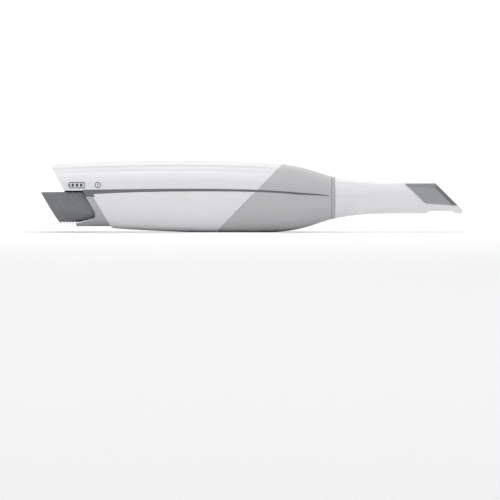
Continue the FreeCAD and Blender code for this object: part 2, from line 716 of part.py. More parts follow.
def bay_latch_spring():
    """A leaf spring in the ceiling of the bay that holds the battery by friction."""
    x0, x1 = X_BAY_END - SPRING_FAR, X_BAY_END - SPRING_NEAR
    leaf = bar(x0, x1, SPRING_HALF, BAY_TOP, BAY_TOP + SPRING_LEAF)
    x_nub = (x0 + x1) / 2
    nub = rod_y(SPRING_HALF, NUB_RADIUS, x_nub, BAY_TOP + NUB_RADIUS / 2)
    nub = nub.common(bar(x_nub - NUB_HALF, x_nub + NUB_HALF, SPRING_HALF + 1,
                         BAY_TOP - LATCH_REACH, BAY_TOP + SPRING_LEAF))
    back = BAY_TOP + LINER_WALL
    bridge = bar(x0 - SPRING_FOOT, x1 + SPRING_FOOT, SPRING_HALF, back, back + SPRING_BACK)
    foot = bar(x1 - SPRING_FOOT, x1, SPRING_HALF, BAY_TOP, back + SPRING_BACK)
    return fuse(leaf, nub, bridge, foot)


# ---------------------------------------------------------------- pack
def battery_block(inset):
    """The part of the pack inside the grip."""
    section = handle_prism(X_REAR + GRIP_SECTION, GRIP_INSET + inset, X_REAR - 20, X_LOWER_EDGE + 20)
    return section.common(grip_outline(-inset))


def battery_neck(inset):
    x1 = X_BAY_END - LINER_WALL - 2 * FIT - inset
    return bay_section(LINER_INSET + LINER_WALL + FIT + inset, X_LOWER_EDGE - 12, x1,
                       BAY_TOP - FIT - inset)


def battery_case():
    case = fuse(battery_block(GRIP_WALL), battery_neck(0))
    case = case.cut(battery_neck(CASE_WALL))
    latch_groove = bar(X_BAY_END - 17, X_BAY_END, 3, BAY_TOP - FIT - CASE_WALL / 2, BAY_TOP + 5)
    return case.cut(latch_groove)


def battery_grip():
    """The rubber sleeve on the pack, with slanted ribs."""
    sleeve = battery_block(0).cut(battery_block(GRIP_WALL)).cut(battery_neck(0))
    first = X_REAR - BATTERY_OVERHANG + (GRIP_TOP - AXIS_Z) * math.tan(REAR_SLANT)
    count = int((X_GRIP_FRONT - first) / RIB_PITCH)
    rings = battery_block(-1).cut(battery_block(RIB_DEPTH))
    for i in range(1, count + 1):
        x = first + i * RIB_PITCH
        sleeve = sleeve.cut(rings.common(slant_band(x - RIB_PITCH / 6, x + RIB_PITCH / 6)))
    return sleeve


def cell_z(radius):
    return BAY_TOP - FIT - CASE_WALL - CELL_ROOM - radius


def cell_fits(radius):
    """Whether two cells of this radius lie side by side in the hollow of the case."""
    inset = LINER_INSET + LINER_WALL + FIT + CASE_WALL
    for turn in range(10):
        angle = turn * math.pi / 18
        room = inner_half_width(X_LOWER_EDGE - BAY_SETBACK, cell_z(radius) - radius * math.sin(angle), inset)
        if radius + CELL_GAP + radius * math.cos(angle) > room - CELL_ROOM / 2:
            return False
    return True


def battery_cells():
    """Two cells of CELL_RADIUS, or the nearest smaller size that the case has room for."""
    radius = CELL_RADIUS
    while not cell_fits(radius):
        radius -= CELL_STEP
    x0 = X_LOWER_EDGE - 4
    ys = (-radius - CELL_GAP, radius + CELL_GAP)
    return [rod_x(x0, x0 + CELL_LENGTH, radius, y, cell_z(radius)) for y in ys]


def battery_contacts():
    """Gold pads on the front of the pack and the small protection board behind them."""
    x1 = X_BAY_END - LINER_WALL - 2 * FIT
    pads = []
    for y in CONTACT_YS:
        pads.append(bar(x1, x1 + FIT / 2, PAD_HALF_WIDTH, CONTACT_Z - PAD_HALF_HEIGHT,
                        CONTACT_Z + PAD_HALF_HEIGHT))
        pads[-1].translate(Vector(0, y, 0))
    board = bar(x1 - CASE_WALL - PACK_BOARD, x1 - CASE_WALL, PACK_BOARD_HALF,
                CONTACT_Z - CONTACT_HALF, CONTACT_Z + CONTACT_HALF)
    return pads + [board]


# ---------------------------------------------------------------- chassis
def pair_of_rods(radius, y, z):
    """Two rods across the gap between the middle and front bulkheads, seated in both."""
    x0 = X_MID_BULKHEAD - BULKHEAD
    return Part.makeCompound([rod_x(x0, X_FRONT_BULKHEAD, radius, side * y, z) for side in (-1, 1)])


def guide_rods():
    return pair_of_rods(ROD_RADIUS, ROD_Y, AXIS_Z)


def counterweight_rods():
    """Their front ends stop at the nose cover where that comes down over them."""
    rods = pair_of_rods(WEIGHT_ROD_RADIUS, WEIGHT_ROD_Y, WEIGHT_ROD_Z)
    return rods.common(handle_form(WALL + SEAM_GAP))


def chassis():
    """One casting: three bulkheads on two side rails, with shelves for the main board."""
    inner = handle_form(WALL + SEAM_GAP).cut(seam_band(TONGUE_REACH + FIT).cut(handle_form(BULKHEAD_INSET)))
    walls = []
    for x1 in (X_FRONT_BULKHEAD, X_MID_BULKHEAD, X_REAR_BULKHEAD):
        walls.append(inner.common(slab_x(x1 - BULKHEAD, x1)))
    x0 = X_REAR_BULKHEAD - BULKHEAD
    rails = []
    for y in (-RAIL_Y, RAIL_Y):
        rail = bar(x0, X_FRONT_BULKHEAD, RAIL_WIDTH / 2, RAIL_Z, RAIL_Z + RAIL_HEIGHT)
        rail.translate(Vector(0, y, 0))
        rails.append(rail)
    shelves = []
    for x, y in board_corners():
        shelf = box(x - SHELF_HALF_LENGTH, x + SHELF_HALF_LENGTH, y - SHELF_HALF_WIDTH,
                    y + SHELF_HALF_WIDTH, BOARD_Z - SHELF_HEIGHT, BOARD_Z)
        shelves.append(shelf.cut(rod_z(BOARD_Z - 4, BOARD_Z + 1, SCREW / 2, x, y)))
    body = fuse(*walls, *rails, *shelves)
    body = body.cut(rod_x(X_MID_BULKHEAD - SIDE, X_COLLAR, CARRIAGE_RADIUS - PATH_LIP).common(
        slab_x(X_MID_BULKHEAD - BULKHEAD - 1, X_COLLAR)))
    body = body.cut(guide_rods()).cut(counterweight_rods())
    for x, y, z in snout_screw_places():
        body = body.cut(rod_x(X_FRONT_BULKHEAD - BULKHEAD - 1, x, SCREW / 2, y, z))
    door = bar(X_REAR_BULKHEAD - BULKHEAD - 1, X_REAR_BULKHEAD + 1, DOOR_HALF,
               AXIS_Z - DOOR_LOW, AXIS_Z + DOOR_HIGH)
    magnet_seat = rod_x(X_FRONT_BULKHEAD - BULKHEAD, X_COLLAR, MAGNET_RADIUS, 0, COIL_Z)
    return body.cut(door).cut(magnet_seat)


def board_corners():
    """Centres of the four shelves that carry the main board."""
    y = BOARD_WIDTH / 2 - SHELF_HALF_WIDTH
    xs = (X_REAR_BULKHEAD + SHELF_HALF_LENGTH, X_MID_BULKHEAD - BULKHEAD - SHELF_HALF_LENGTH)
    return [(x, side * y) for x in xs for side in (-1, 1)]


def main_board():
    board = bar(X_REAR_BULKHEAD + FIT, X_MID_BULKHEAD - BULKHEAD - FIT, BOARD_WIDTH / 2,
                BOARD_Z, BOARD_Z + BOARD)
    for x, y in board_corners():
        board = board.cut(rod_z(BOARD_Z - 1, BOARD_Z + BOARD + 1, SCREW / 2 + RUNNING, x, y))
    return board


def board_screws():
    """Four pan-head screws with a slot, down through the board into the shelves."""
    z = BOARD_Z + BOARD
    screws = []
    for x, y in board_corners():
        head = rod_z(z, z + SCREW_HEAD, SCREW, x, y)
        slot = box(x - SCREW_SLOT / 2, x + SCREW_SLOT / 2, y - 2 * SCREW, y + 2 * SCREW,
                   z + SCREW_HEAD - SCREW_SLOT, z + 2 * SCREW_HEAD)
        screws.append(fuse(head.cut(slot), rod_z(BOARD_Z - SCREW_GRIP, z, SCREW / 2 - RUNNING, x, y)))
    return screws


def board_chips():
    """Processor, memory and power parts on top of the main board: x, y, length, width, height."""
    z = BOARD_Z + BOARD
    chips = []
    for dx, y, length, width, height in (
        (-22, 0, 10, 10, 1.3),
        (-22, -9, 7, 5, 1.0),
        (-22, 9, 7, 5, 1.0),
        (-32, 5, 5, 5, 0.9),
        (-32, -5, 6, 4, 0.9),
        (-12, 8, 3, 3, 0.8),
        (-12, -8, 3, 3, 0.8),
    ):
        x = X_MID_BULKHEAD + dx
        chips.append(box(x - length / 2, x + length / 2, y - width / 2, y + width / 2, z, z + height))
    return chips


def shield_can():
    """The pressed cover over the radio, open underneath."""
    z = BOARD_Z + BOARD
    x = X_REAR_BULKHEAD + CAN_X
    inside = bar(x - CAN_HALF_LENGTH + CAN_SHEET, x + CAN_HALF_LENGTH - CAN_SHEET,
                 CAN_HALF_WIDTH - CAN_SHEET, z - 1, z + CAN_HEIGHT - CAN_SHEET)
    return bar(x - CAN_HALF_LENGTH, x + CAN_HALF_LENGTH, CAN_HALF_WIDTH, z, z + CAN_HEIGHT).cut(inside)


def antenna():
    z = BOARD_Z + BOARD
    x = X_REAR_BULKHEAD + ANTENNA_X
    return bar(x - ANTENNA_HALF_LENGTH, x + ANTENNA_HALF_LENGTH, ANTENNA_HALF_WIDTH, z, z + ANTENNA_HEIGHT)


def sensor_flex():
    """The ribbon from the top of the sensor board up to the main board."""
    x = X_SENSOR_BOARD - BOARD / 2
    return bar(x - FLEX / 2, x + FLEX / 2, SENSOR_FLEX_HALF, AXIS_Z + SENSOR_BOARD_HALF, BOARD_Z)


def power_flex():
    """The ribbon from the bay contacts through the rear bulkhead to the main board."""
    x0 = X_BAY_END + PIN_BOARD
    x1 = X_REAR_BULKHEAD + POWER_FLEX_REACH
    riser = bar(x0, x0 + FLEX, POWER_FLEX_HALF, CONTACT_Z, POWER_FLEX_Z)
    run = bar(x0, x1 + FLEX, POWER_FLEX_HALF, POWER_FLEX_Z, POWER_FLEX_Z + FLEX)
    return fuse(riser, run, bar(x1, x1 + FLEX, POWER_FLEX_HALF, POWER_FLEX_Z, BOARD_Z))


# ---------------------------------------------------------------- optics
def biconvex(x, radius, thickness, edge):
    """A lens about x on the axis, thinner at its edge, turned from its half section."""
    sag = (thickness - edge) / 2
    ball = (radius * radius + sag * sag) / (2 * sag)
    half_way = thickness / 2 - ball + math.sqrt(ball * ball - radius * radius / 4)
    rear, front = Vector(x - thickness / 2, 0, AXIS_Z), Vector(x + thickness / 2, 0, AXIS_Z)
    rear_rim = Vector(x - edge / 2, 0, AXIS_Z + radius)
    front_rim = Vector(x + edge / 2, 0, AXIS_Z + radius)
    rear_middle = Vector(x - half_way, 0, AXIS_Z + radius / 2)
    front_middle = Vector(x + half_way, 0, AXIS_Z + radius / 2)
    edges = [Part.Arc(rear, rear_middle, rear_rim).toShape(), Part.makeLine(rear_rim, front_rim)]
    edges += [Part.Arc(front_rim, front_middle, front).toShape(), Part.makeLine(front, rear)]
    return Part.Face(Part.Wire(edges)).revolve(rear, Vector(1, 0, 0), 360)


def snout_screw_places():
    """Four screws through the snout flange: x of the flange's front face, y and z."""
    places = []
    for turn in range(4):
        angle = math.pi / 4 + turn * math.pi / 2
        y = SNOUT_SCREW_CIRCLE * math.cos(angle)
        z = AXIS_Z + SNOUT_SCREW_CIRCLE * math.sin(angle)
        places.append((X_FRONT_BULKHEAD + SNOUT_FLANGE, y, z))
    return places


def snout_tube():
    """The fixed barrel that reaches into the tip, on a flange at the front bulkhead."""
    flange = rod_x(X_FRONT_BULKHEAD, X_FRONT_BULKHEAD + SNOUT_FLANGE, SNOUT_SCREW_CIRCLE + SCREW + 0.4)
    barrel = rod_x(X_FRONT_BULKHEAD, X_COLLAR + SNOUT_REACH, SNOUT_RADIUS)
    tube = fuse(flange, barrel).cut(rod_x(X_REAR, X_END, SNOUT_RADIUS - SNOUT_WALL))
    for x, y, z in snout_screw_places():
        tube = tube.cut(rod_x(X_REAR, x + 1, SCREW / 2 + RUNNING, y, z))
    return tube


def snout_screws():
    screws = []
    for x, y, z in snout_screw_places():
        head = rod_x(x, x + 1.2, SCREW, y, z).cut(rod_x(x + 0.4, x + 2, SCREW / 2, y, z))
        screws.append(fuse(head, rod_x(x - SNOUT_FLANGE - 2, x, SCREW / 2 - RUNNING, y, z)))
    return screws


def snout_window():
    x1 = X_COLLAR + SNOUT_REACH
    return rod_x(x1 - WINDOW_SINK - WINDOW_GLASS, x1 - WINDOW_SINK, SNOUT_RADIUS - SNOUT_WALL)


def relay_lenses():
    radius = SNOUT_RADIUS - SNOUT_WALL
    return [biconvex(X_COLLAR + reach, radius, *RELAY_LENS) for reach in RELAY_PLACES]


def lens_spacer():
    """The tube that keeps the two relay lenses apart."""
    radius = SNOUT_RADIUS - SNOUT_WALL
    x0 = X_COLLAR + RELAY_PLACES[0] + SPACER_REACH
    x1 = X_COLLAR + RELAY_PLACES[1] - SPACER_REACH
    return tube_x(x0, x1, radius, radius - SPACER_WALL)


def rack(pitch_z, side, half_length):
    """A rack with its teeth up (+1) or down (-1), gaps centred on the focus position."""
    pitch = math.pi * MODULE
    tan20 = math.tan(math.radians(20))
    half_gap = pitch / 4 + BACKLASH / 2
    tip_z = pitch_z + side * MODULE
    root_z = pitch_z - side * 1.25 * MODULE
    body_z = root_z - side * RACK_BACK
    low, high = min(tip_z, body_z), max(tip_z, body_z)
    bar_blank = bar(FOCUS_X - half_length, FOCUS_X + half_length, RACK_WIDTH / 2, low, high)
    wide_gap = half_gap + MODULE * tan20
    narrow_gap = half_gap - 1.25 * MODULE * tan20
    count = int(half_length / pitch)
    for i in range(-count, count + 1):
        x = FOCUS_X + i * pitch
        gap = side_prism([
            (x - wide_gap, tip_z, 0),
            (x + wide_gap, tip_z, 0),
            (x + narrow_gap, root_z, 0),
            (x - narrow_gap, root_z, 0),
        ], RACK_WIDTH)
        bar_blank = bar_blank.cut(gap)
    return bar_blank


def focus_carriage():
    """The ring that holds the focus lens, on two guide rods, with a rack and the coil bobbin."""
    x0, x1 = FOCUS_X - CARRIAGE_LENGTH / 2, FOCUS_X + CARRIAGE_LENGTH / 2
    ring = tube_x(x0, x1, CARRIAGE_RADIUS, LENS_RADIUS)
    pieces = [ring, rack(RACK_LINE, +1, RACK_HALF)]
    pieces.append(bar(x0, x1, RACK_WIDTH / 2, AXIS_Z + LENS_RADIUS + 0.6, RACK_LINE - 1.5 * MODULE))
    for side in (-1, 1):
        pieces.append(rod_x(x0 - ROD_BOSS, x1 + ROD_BOSS, ROD_RADIUS + ROD_BOSS, side * ROD_Y))
        inner, outer = sorted((side * (LENS_RADIUS + 0.8), side * ROD_Y))
        pieces.append(box(x0, x1, inner, outer, AXIS_Z - WEB_HALF, AXIS_Z + WEB_HALF))
    pieces.append(tube_x(FOCUS_X - BOBBIN_WEB, FOCUS_X + BOBBIN_WEB, COIL_RADIUS + BOBBIN_RIM, BOBBIN_BORE,
                         0, COIL_Z))
    pieces.append(tube_x(FOCUS_X - COIL_HALF, FOCUS_X + COIL_HALF, BOBBIN_BORE + BOBBIN_WALL, BOBBIN_BORE,
                         0, COIL_Z))
    carriage = fuse(*pieces)
    for side in (-1, 1):
        carriage = carriage.cut(rod_x(x0 - 9, x1 + 9, ROD_RADIUS + RUNNING, side * ROD_Y))
    return carriage


def focus_lens():
    return biconvex(FOCUS_X, LENS_RADIUS, *FOCUS_LENS)


def voice_coil():
    """The winding, in two halves on either side of the bobbin's web."""
    halves = []
    for side in (-1, 1):
        x0, x1 = sorted((FOCUS_X + side * BOBBIN_WEB, FOCUS_X + side * COIL_HALF))
        halves.append(tube_x(x0, x1, COIL_RADIUS, BOBBIN_BORE + BOBBIN_WALL, 0, COIL_Z))
    return halves


def voice_coil_magnet():
    return rod_x(X_MID_BULKHEAD, X_FRONT_BULKHEAD, MAGNET_RADIUS, 0, COIL_Z)


def magnet_yoke():
    """The iron trough under the coil, held between the two bulkheads."""
    radius = COIL_RADIUS + YOKE_GAP
    trough = tube_x(X_MID_BULKHEAD, X_FRONT_BULKHEAD - BULKHEAD, radius + YOKE_WALL, radius, 0, COIL_Z)
    return trough.common(bar(X_REAR, X_COLLAR, SIDE, AXIS_Z - SIDE, COIL_Z - 1))


def counterweight():
    """The mass that moves against the focus lens, on its own two rods."""
    half = RACK_HALF - 0.5
    block = bar(FOCUS_X - half, FOCUS_X + half, WEIGHT_ROD_Y + 1.2, WEIGHT_ROD_Z - 1.3, WEIGHT_ROD_Z + 1.2)
    weight = fuse(block, rack(WEIGHT_LINE, -1, half))
    for side in (-1, 1):
        bore = rod_x(X_REAR, X_COLLAR, WEIGHT_ROD_RADIUS + RUNNING, side * WEIGHT_ROD_Y, WEIGHT_ROD_Z)
        weight = weight.cut(bore)
    return weight


def focus_pinion():
    """An 18 tooth involute pinion on a cross axle, with a tooth straight up and down."""
    pressure = math.radians(20)
    base = PITCH_RADIUS * math.cos(pressure)
    crest = PITCH_RADIUS + MODULE
    root = PITCH_RADIUS - 1.25 * MODULE
    half_tooth = math.pi / (2 * TEETH) - BACKLASH / (2 * PITCH_RADIUS) + math.tan(pressure) - pressure
    flank = [(root, half_tooth)]
    steps = 5
    for i in range(steps + 1):
        radius = base + (crest - base) * i / steps
        roll = math.acos(base / radius)
        flank.append((radius, half_tooth - (math.tan(roll) - roll)))
    corners = []
    for tooth in range(TEETH):
        centre = math.pi / 2 - tooth * 2 * math.pi / TEETH
        for radius, offset in flank:
            corners.append((radius, centre + offset))
        for radius, offset in reversed(flank):
            corners.append((radius, centre - offset))
    outline = [(FOCUS_X + r * math.cos(a), PINION_Z + r * math.sin(a), 0) for r, a in corners]
    wheel = side_prism(outline, PINION_WIDTH / 2)
    return wheel.cut(rod_y(PINION_WIDTH, AXLE + RUNNING, FOCUS_X, PINION_Z))


def pinion_axle():
    return rod_y(CAGE_Y + CAGE_PLATE, AXLE, FOCUS_X, PINION_Z)


def pinion_cage():
    """Two side plates between the bulkheads that carry the axle."""
    plates = []
    for side in (-1, 1):
        y0, y1 = sorted((side * CAGE_Y, side * (CAGE_Y + CAGE_PLATE)))
        plate = box(X_MID_BULKHEAD, X_FRONT_BULKHEAD - BULKHEAD, y0, y1,
                    PINION_Z - CAGE_HALF, PINION_Z + CAGE_HALF)
        plates.append(plate.cut(pinion_axle()))
    return plates


def splitter_mount():
    """The block between the rails that carries the beam splitter over the light source."""
    z0, z1 = AXIS_Z - CUBE / 2 - MOUNT_DROP, AXIS_Z - CUBE / 2
    half_x = CUBE / 2 + MOUNT_EDGE
    block = bar(X_SPLITTER - half_x, X_SPLITTER + half_x, RAIL_Y - RAIL_WIDTH / 2, z0, z1)
    pieces = [block]
    for side in (-1, 1):
        y0, y1 = sorted((side * CUBE / 2, side * (CUBE / 2 + MOUNT_CHEEK)))
        pieces.append(box(X_SPLITTER - half_x, X_SPLITTER + half_x, y0, y1, z1, z1 + CUBE / 2 + 2))
    return fuse(*pieces).cut(rod_z(z0 - 1, z1 + 1, LIGHT_BORE, X_SPLITTER))


def beam_splitter():
    """A glass cube with a small chamfer on every edge."""
    half = CUBE / 2
    cube = bar(X_SPLITTER - half, X_SPLITTER + half, half, AXIS_Z - half, AXIS_Z + half)
    return cube.makeChamfer(0.25, cube.Edges)


def light_board():
    z1 = AXIS_Z - CUBE / 2 - MOUNT_DROP
    return bar(X_SPLITTER - CUBE / 2, X_SPLITTER + CUBE / 2, LIGHT_BOARD_HALF, z1 - LIGHT_BOARD, z1)


def light_source():
    """The emitter chip on its board, inside the mount's bore."""
    z0 = AXIS_Z - CUBE / 2 - MOUNT_DROP
    return bar(X_SPLITTER - EMITTER_HALF, X_SPLITTER + EMITTER_HALF, EMITTER_HALF, z0, z0 + EMITTER)


def light_lens():
    lens = biconvex(0, LIGHT_BORE, *SMALL_LENS)
    lens.rotate(Vector(0, 0, AXIS_Z), Vector(0, 1, 0), 90)
    lens.translate(Vector(X_SPLITTER, 0, -CUBE / 2 - LIGHT_LENS_DROP))
    return lens


def pattern_grid():
    z0 = AXIS_Z - CUBE / 2 - GRID_DROP
    return rod_z(z0, z0 + GRID, LIGHT_BORE, X_SPLITTER)


def light_heat_sink():
    """A plate with cross fins under the light board."""
    z1 = AXIS_Z - CUBE / 2 - MOUNT_DROP - LIGHT_BOARD
    half = CUBE / 2
    pieces = [bar(X_SPLITTER - half, X_SPLITTER + half, half, z1 - SINK_PLATE, z1)]
    for i in range(SINK_FINS):
        x = X_SPLITTER + (i - (SINK_FINS - 1) / 2) * SINK_PITCH
        pieces.append(bar(x - SINK_PITCH / 6, x + SINK_PITCH / 6, half, z1 - SINK_FIN - SINK_PITCH / 4,
                          z1 - SINK_PLATE / 2))
    return fuse(*pieces)


def imaging_barrel():
    """The tube behind the beam splitter, on a square flange between the rails."""
    x1 = X_SPLITTER - CUBE / 2 - BARREL_GAP
    tube = rod_x(X_SENSOR_BOARD, x1, IMAGE_LENS + 1)
    flange = bar(X_SENSOR_BOARD, X_SENSOR_BOARD + BARREL_FLANGE, RAIL_Y - RAIL_WIDTH / 2,
                 AXIS_Z - BARREL_FOOT, AXIS_Z + BARREL_HEAD)
    barrel = fuse(tube, flange).cut(rod_x(X_REAR, X_COLLAR, IMAGE_LENS))
    room = SENSOR_HALF + SENSOR_ROOM
    pocket = bar(X_SENSOR_BOARD - 1, X_SENSOR_BOARD + SENSOR + 0.4, room, AXIS_Z - room, AXIS_Z + room)
    return barrel.cut(pocket)


def imaging_lenses():
    x1 = X_SPLITTER - CUBE / 2 - BARREL_GAP
    return [biconvex(x1 + step, IMAGE_LENS, *SMALL_LENS) for step in IMAGE_LENS_STEPS]


def image_sensor():
    half = SENSOR_HALF
    return bar(X_SENSOR_BOARD, X_SENSOR_BOARD + SENSOR, half, AXIS_Z - half, AXIS_Z + half)


def sensor_board():
    half = SENSOR_BOARD_HALF
    return bar(X_SENSOR_BOARD - BOARD, X_SENSOR_BOARD, half, AXIS_Z - half, AXIS_Z + half)


def sensor_heat_sink():
    """A plate with upright fins on the back of the sensor board."""
    x1 = X_SENSOR_BOARD - BOARD
    half_y = SENSOR_BOARD_HALF - 1
    z0, z1 = AXIS_Z - half_y, AXIS_Z + half_y - 2
    pieces = [bar(x1 - FIN_PLATE, x1, half_y, z0, z1)]
    for i in range(SINK_FINS):
        y = (i - (SINK_FINS - 1) / 2) * FIN_PITCH
        pieces.append(box(x1 - FIN_REACH, x1 - FIN_PLATE / 2, y - FIN / 2, y + FIN / 2, z0, z1))
    return fuse(*pieces)


# ---------------------------------------------------------------- scanning tip
def tip_form(inset):
    wires = []
    for share, flare, power in TIP_STATIONS:
        half_height = TIP_HEIGHT / 2 + flare * (COLLAR_RADIUS - TIP_HEIGHT / 2) - inset
        half_width = TIP_WIDTH / 2 + flare * (COLLAR_RADIUS - TIP_WIDTH / 2) - inset
        x = X_COLLAR + share * TIP_LENGTH
        wires.append(section_wire(x, half_height, half_height, half_width, AXIS_Z, power, power))
    return Part.makeLoft(wires, True, False)


def face_x(x_at_axis, z):
    """A 45 degree face's x at height z. It leans back as it rises, like the mirror."""
    return x_at_axis + AXIS_Z - z


def cap_outline(grow):
    """The mirror cap's side view: two 45 degree ends, a flat roof and a nearly level foot."""
    roof = AXIS_Z + TIP_HEIGHT / 2 - CAP_DROP
    rear_foot = AXIS_Z - 3.7
    front_foot = AXIS_Z - 5.2
    face = Part.Face(rounded_wire([
        (face_x(X_CAP_REAR, roof), roof, 0),
        (face_x(X_FACE, roof), roof, CAP_ROUND + 0.3),
        (face_x(X_FACE, front_foot), front_foot, 0),
        (face_x(X_CAP_REAR, rear_foot), rear_foot, 2.0),
    ]))
    return face.makeOffset2D(grow) if grow else face


def mirror_cap():
    """The dark hood over the mirror: flat sides, with its roof and front edges well rounded."""
    half = TIP_WIDTH / 2 - CAP_SIDE
    blank = wide(cap_outline(0), half)
    roof = AXIS_Z + TIP_HEIGHT / 2 - CAP_DROP
    rounded = []
    for edge in blank.Edges:
        middle = edge.CenterOfMass
        on_side = abs(abs(middle.y) - half) < 1e-6 and edge.BoundBox.YLength < 1e-6
        leaning = abs(middle.x + middle.z - X_FACE - AXIS_Z) < 1e-6
        on_roof = abs(middle.z - roof) < 1e-6
        on_corner = middle.z > AXIS_Z + 4 and middle.x > X_FACE - 12 and not leaning and not on_roof
        if on_side and (leaning or on_roof or on_corner):
            rounded.append(edge)
    blank = blank.makeFillet(CAP_ROUND, rounded)
    x_inner = X_FACE - CAP_WALL * math.sqrt(2)
    top = roof - CAP_WALL
    hollow = side_prism([
        (X_CAP_REAR - SIDE, top, 0),
        (face_x(x_inner, top), top, CAP_ROUND - CAP_WALL),
        (face_x(x_inner, AXIS_Z - SIDE), AXIS_Z - SIDE, 0),
        (X_CAP_REAR - SIDE, AXIS_Z - SIDE, 0),
    ], half - CAP_WALL)
    return blank.cut(hollow)


def mirror_plate(x_front, thickness, half_y, z0, z1):
    """A plate that lies at 45 degrees with its front face through x_front on the axis."""
    x_rear = x_front - thickness * math.sqrt(2)
    return side_prism([
        (face_x(x_rear, z0), z0, 0),
        (face_x(x_front, z0), z0, 0),
        (face_x(x_front, z1), z1, 0),
        (face_x(x_rear, z1), z1, 0),
    ], half_y)


def mirror_heater():
    x = X_FACE - CAP_WALL * math.sqrt(2)
    return mirror_plate(x, HEATER, TIP_WIDTH / 2 - CAP_SIDE - CAP_WALL - 0.8, AXIS_Z - 4, AXIS_Z + 6)


def tip_mirror():
    x = X_FACE - (CAP_WALL + HEATER) * math.sqrt(2)
    return mirror_plate(x, MIRROR, TIP_WIDTH / 2 - CAP_SIDE - CAP_WALL - 0.2, AXIS_Z - 4.8, AXIS_Z + 7)


def tip_shell():
    """The white slip-on tip, cut away for the mirror cap, with a hooked front lip."""
    floor = AXIS_Z - TIP_HEIGHT / 2 + 1.7
    lip = AXIS_Z - TIP_HEIGHT / 2 - 0.2
    step = face_x(X_CAP_REAR, AXIS_Z) + 3.6
    outline = side_prism([
        (X_COLLAR + TIP_GAP, AXIS_Z + SIDE, 0),
        (face_x(X_FACE, AXIS_Z + SIDE), AXIS_Z + SIDE, 0),
        (X_END, AXIS_Z - MIRROR_SETBACK, 1.4),
        (X_END - 0.9, lip, 1.0),
        (X_END - 3.4, lip, 0.8),
        (X_END - 6.2, floor, 1.0),
        (step + 3.9, floor, 1.0),
        (step, lip - 0.3, 0),
        (step, AXIS_Z - SIDE, 0),
        (X_COLLAR + TIP_GAP, AXIS_Z - SIDE, 0),
    ])
    blank = tip_form(0).common(outline)
    inside = side_prism([
        (X_COLLAR + SEAT_LENGTH + 1, AXIS_Z + SIDE, 0),
        (X_END - 4.5, AXIS_Z + SIDE, 0),
        (X_END - 4.5, floor + TIP_WALL, 1.0),
        (step + 2.6, floor + TIP_WALL, 0.6),
        (step - 0.8, lip + TIP_WALL - 0.6, 0),
        (step - 0.8, AXIS_Z - SIDE, 0),
        (X_COLLAR + SEAT_LENGTH + 1, AXIS_Z - SIDE, 0),
    ])
    hollow = tip_form(TIP_WALL).common(inside)
    bore = rod_x(X_COLLAR, X_COLLAR + SEAT_LENGTH + 1.2, SEAT_RADIUS + FIT)
    shell = blank.cut(hollow).cut(bore).cut(wide(cap_outline(SEAM_GAP)))
    window_x1 = X_END - 6.4
    opening = bar(window_x1 - WINDOW_LENGTH, window_x1, WINDOW_WIDTH / 2, AXIS_Z - SIDE, AXIS_Z - 5)
    return shell.cut(opening)


# ---------------------------------------------------------------- output
def main():
    os.makedirs("parts", exist_ok=True)
    covers = (top_shell, bottom_shell, nose_cover, tip_seat_collar, tip_seal_ring)
    button = (status_ring, scan_button, button_seal, button_switch)
    bay = (bay_liner, bay_roof, bay_contacts, bay_latch_spring)
    pack = (battery_case, battery_grip, battery_cells, battery_contacts)
    frame = (chassis, guide_rods, counterweight_rods)
    electronics = (main_board, board_screws, board_chips, shield_can, antenna, sensor_flex, power_flex)
    snout = (snout_tube, snout_screws, snout_window, relay_lenses, lens_spacer)
    focus = (focus_carriage, focus_lens, voice_coil, voice_coil_magnet, magnet_yoke)
    balance = (counterweight, focus_pinion, pinion_axle, pinion_cage)
    light = (splitter_mount, beam_splitter, light_board, light_source, light_lens)
    light += (pattern_grid, light_heat_sink)
    imaging = (imaging_barrel, imaging_lenses, image_sensor, sensor_board, sensor_heat_sink)
    tip = (tip_shell, mirror_cap, tip_mirror, mirror_heater)
    for group in (covers, button, bay, pack, frame, electronics, snout, focus, balance, light, imaging, tip):
        for make in group:
            made = make()
            save(make.__name__, *(made if isinstance(made, list) else [made]))
    save("tip_detent_balls", *detent_balls(0))
    left, right = side_trims()
    save("side_trim_left", *left)
    save("side_trim_right", *right)


main()
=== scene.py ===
# %% [markdown]
# # A wireless intraoral camera, finished for the studio
# The engineering model gives every part its true shape and place. This lesson loads it, gives
# each part the surface of its real material, and models by hand the few pieces whose charm is
# in their surface: the ribbed rubber grip, the battery's thin rail, the dished scan button and the
# small printed signs.
# Everything is in metres. +X points to the scanning tip, +Z up, and the belly rests at z = 0.

# %% Load the frame
import json
import math

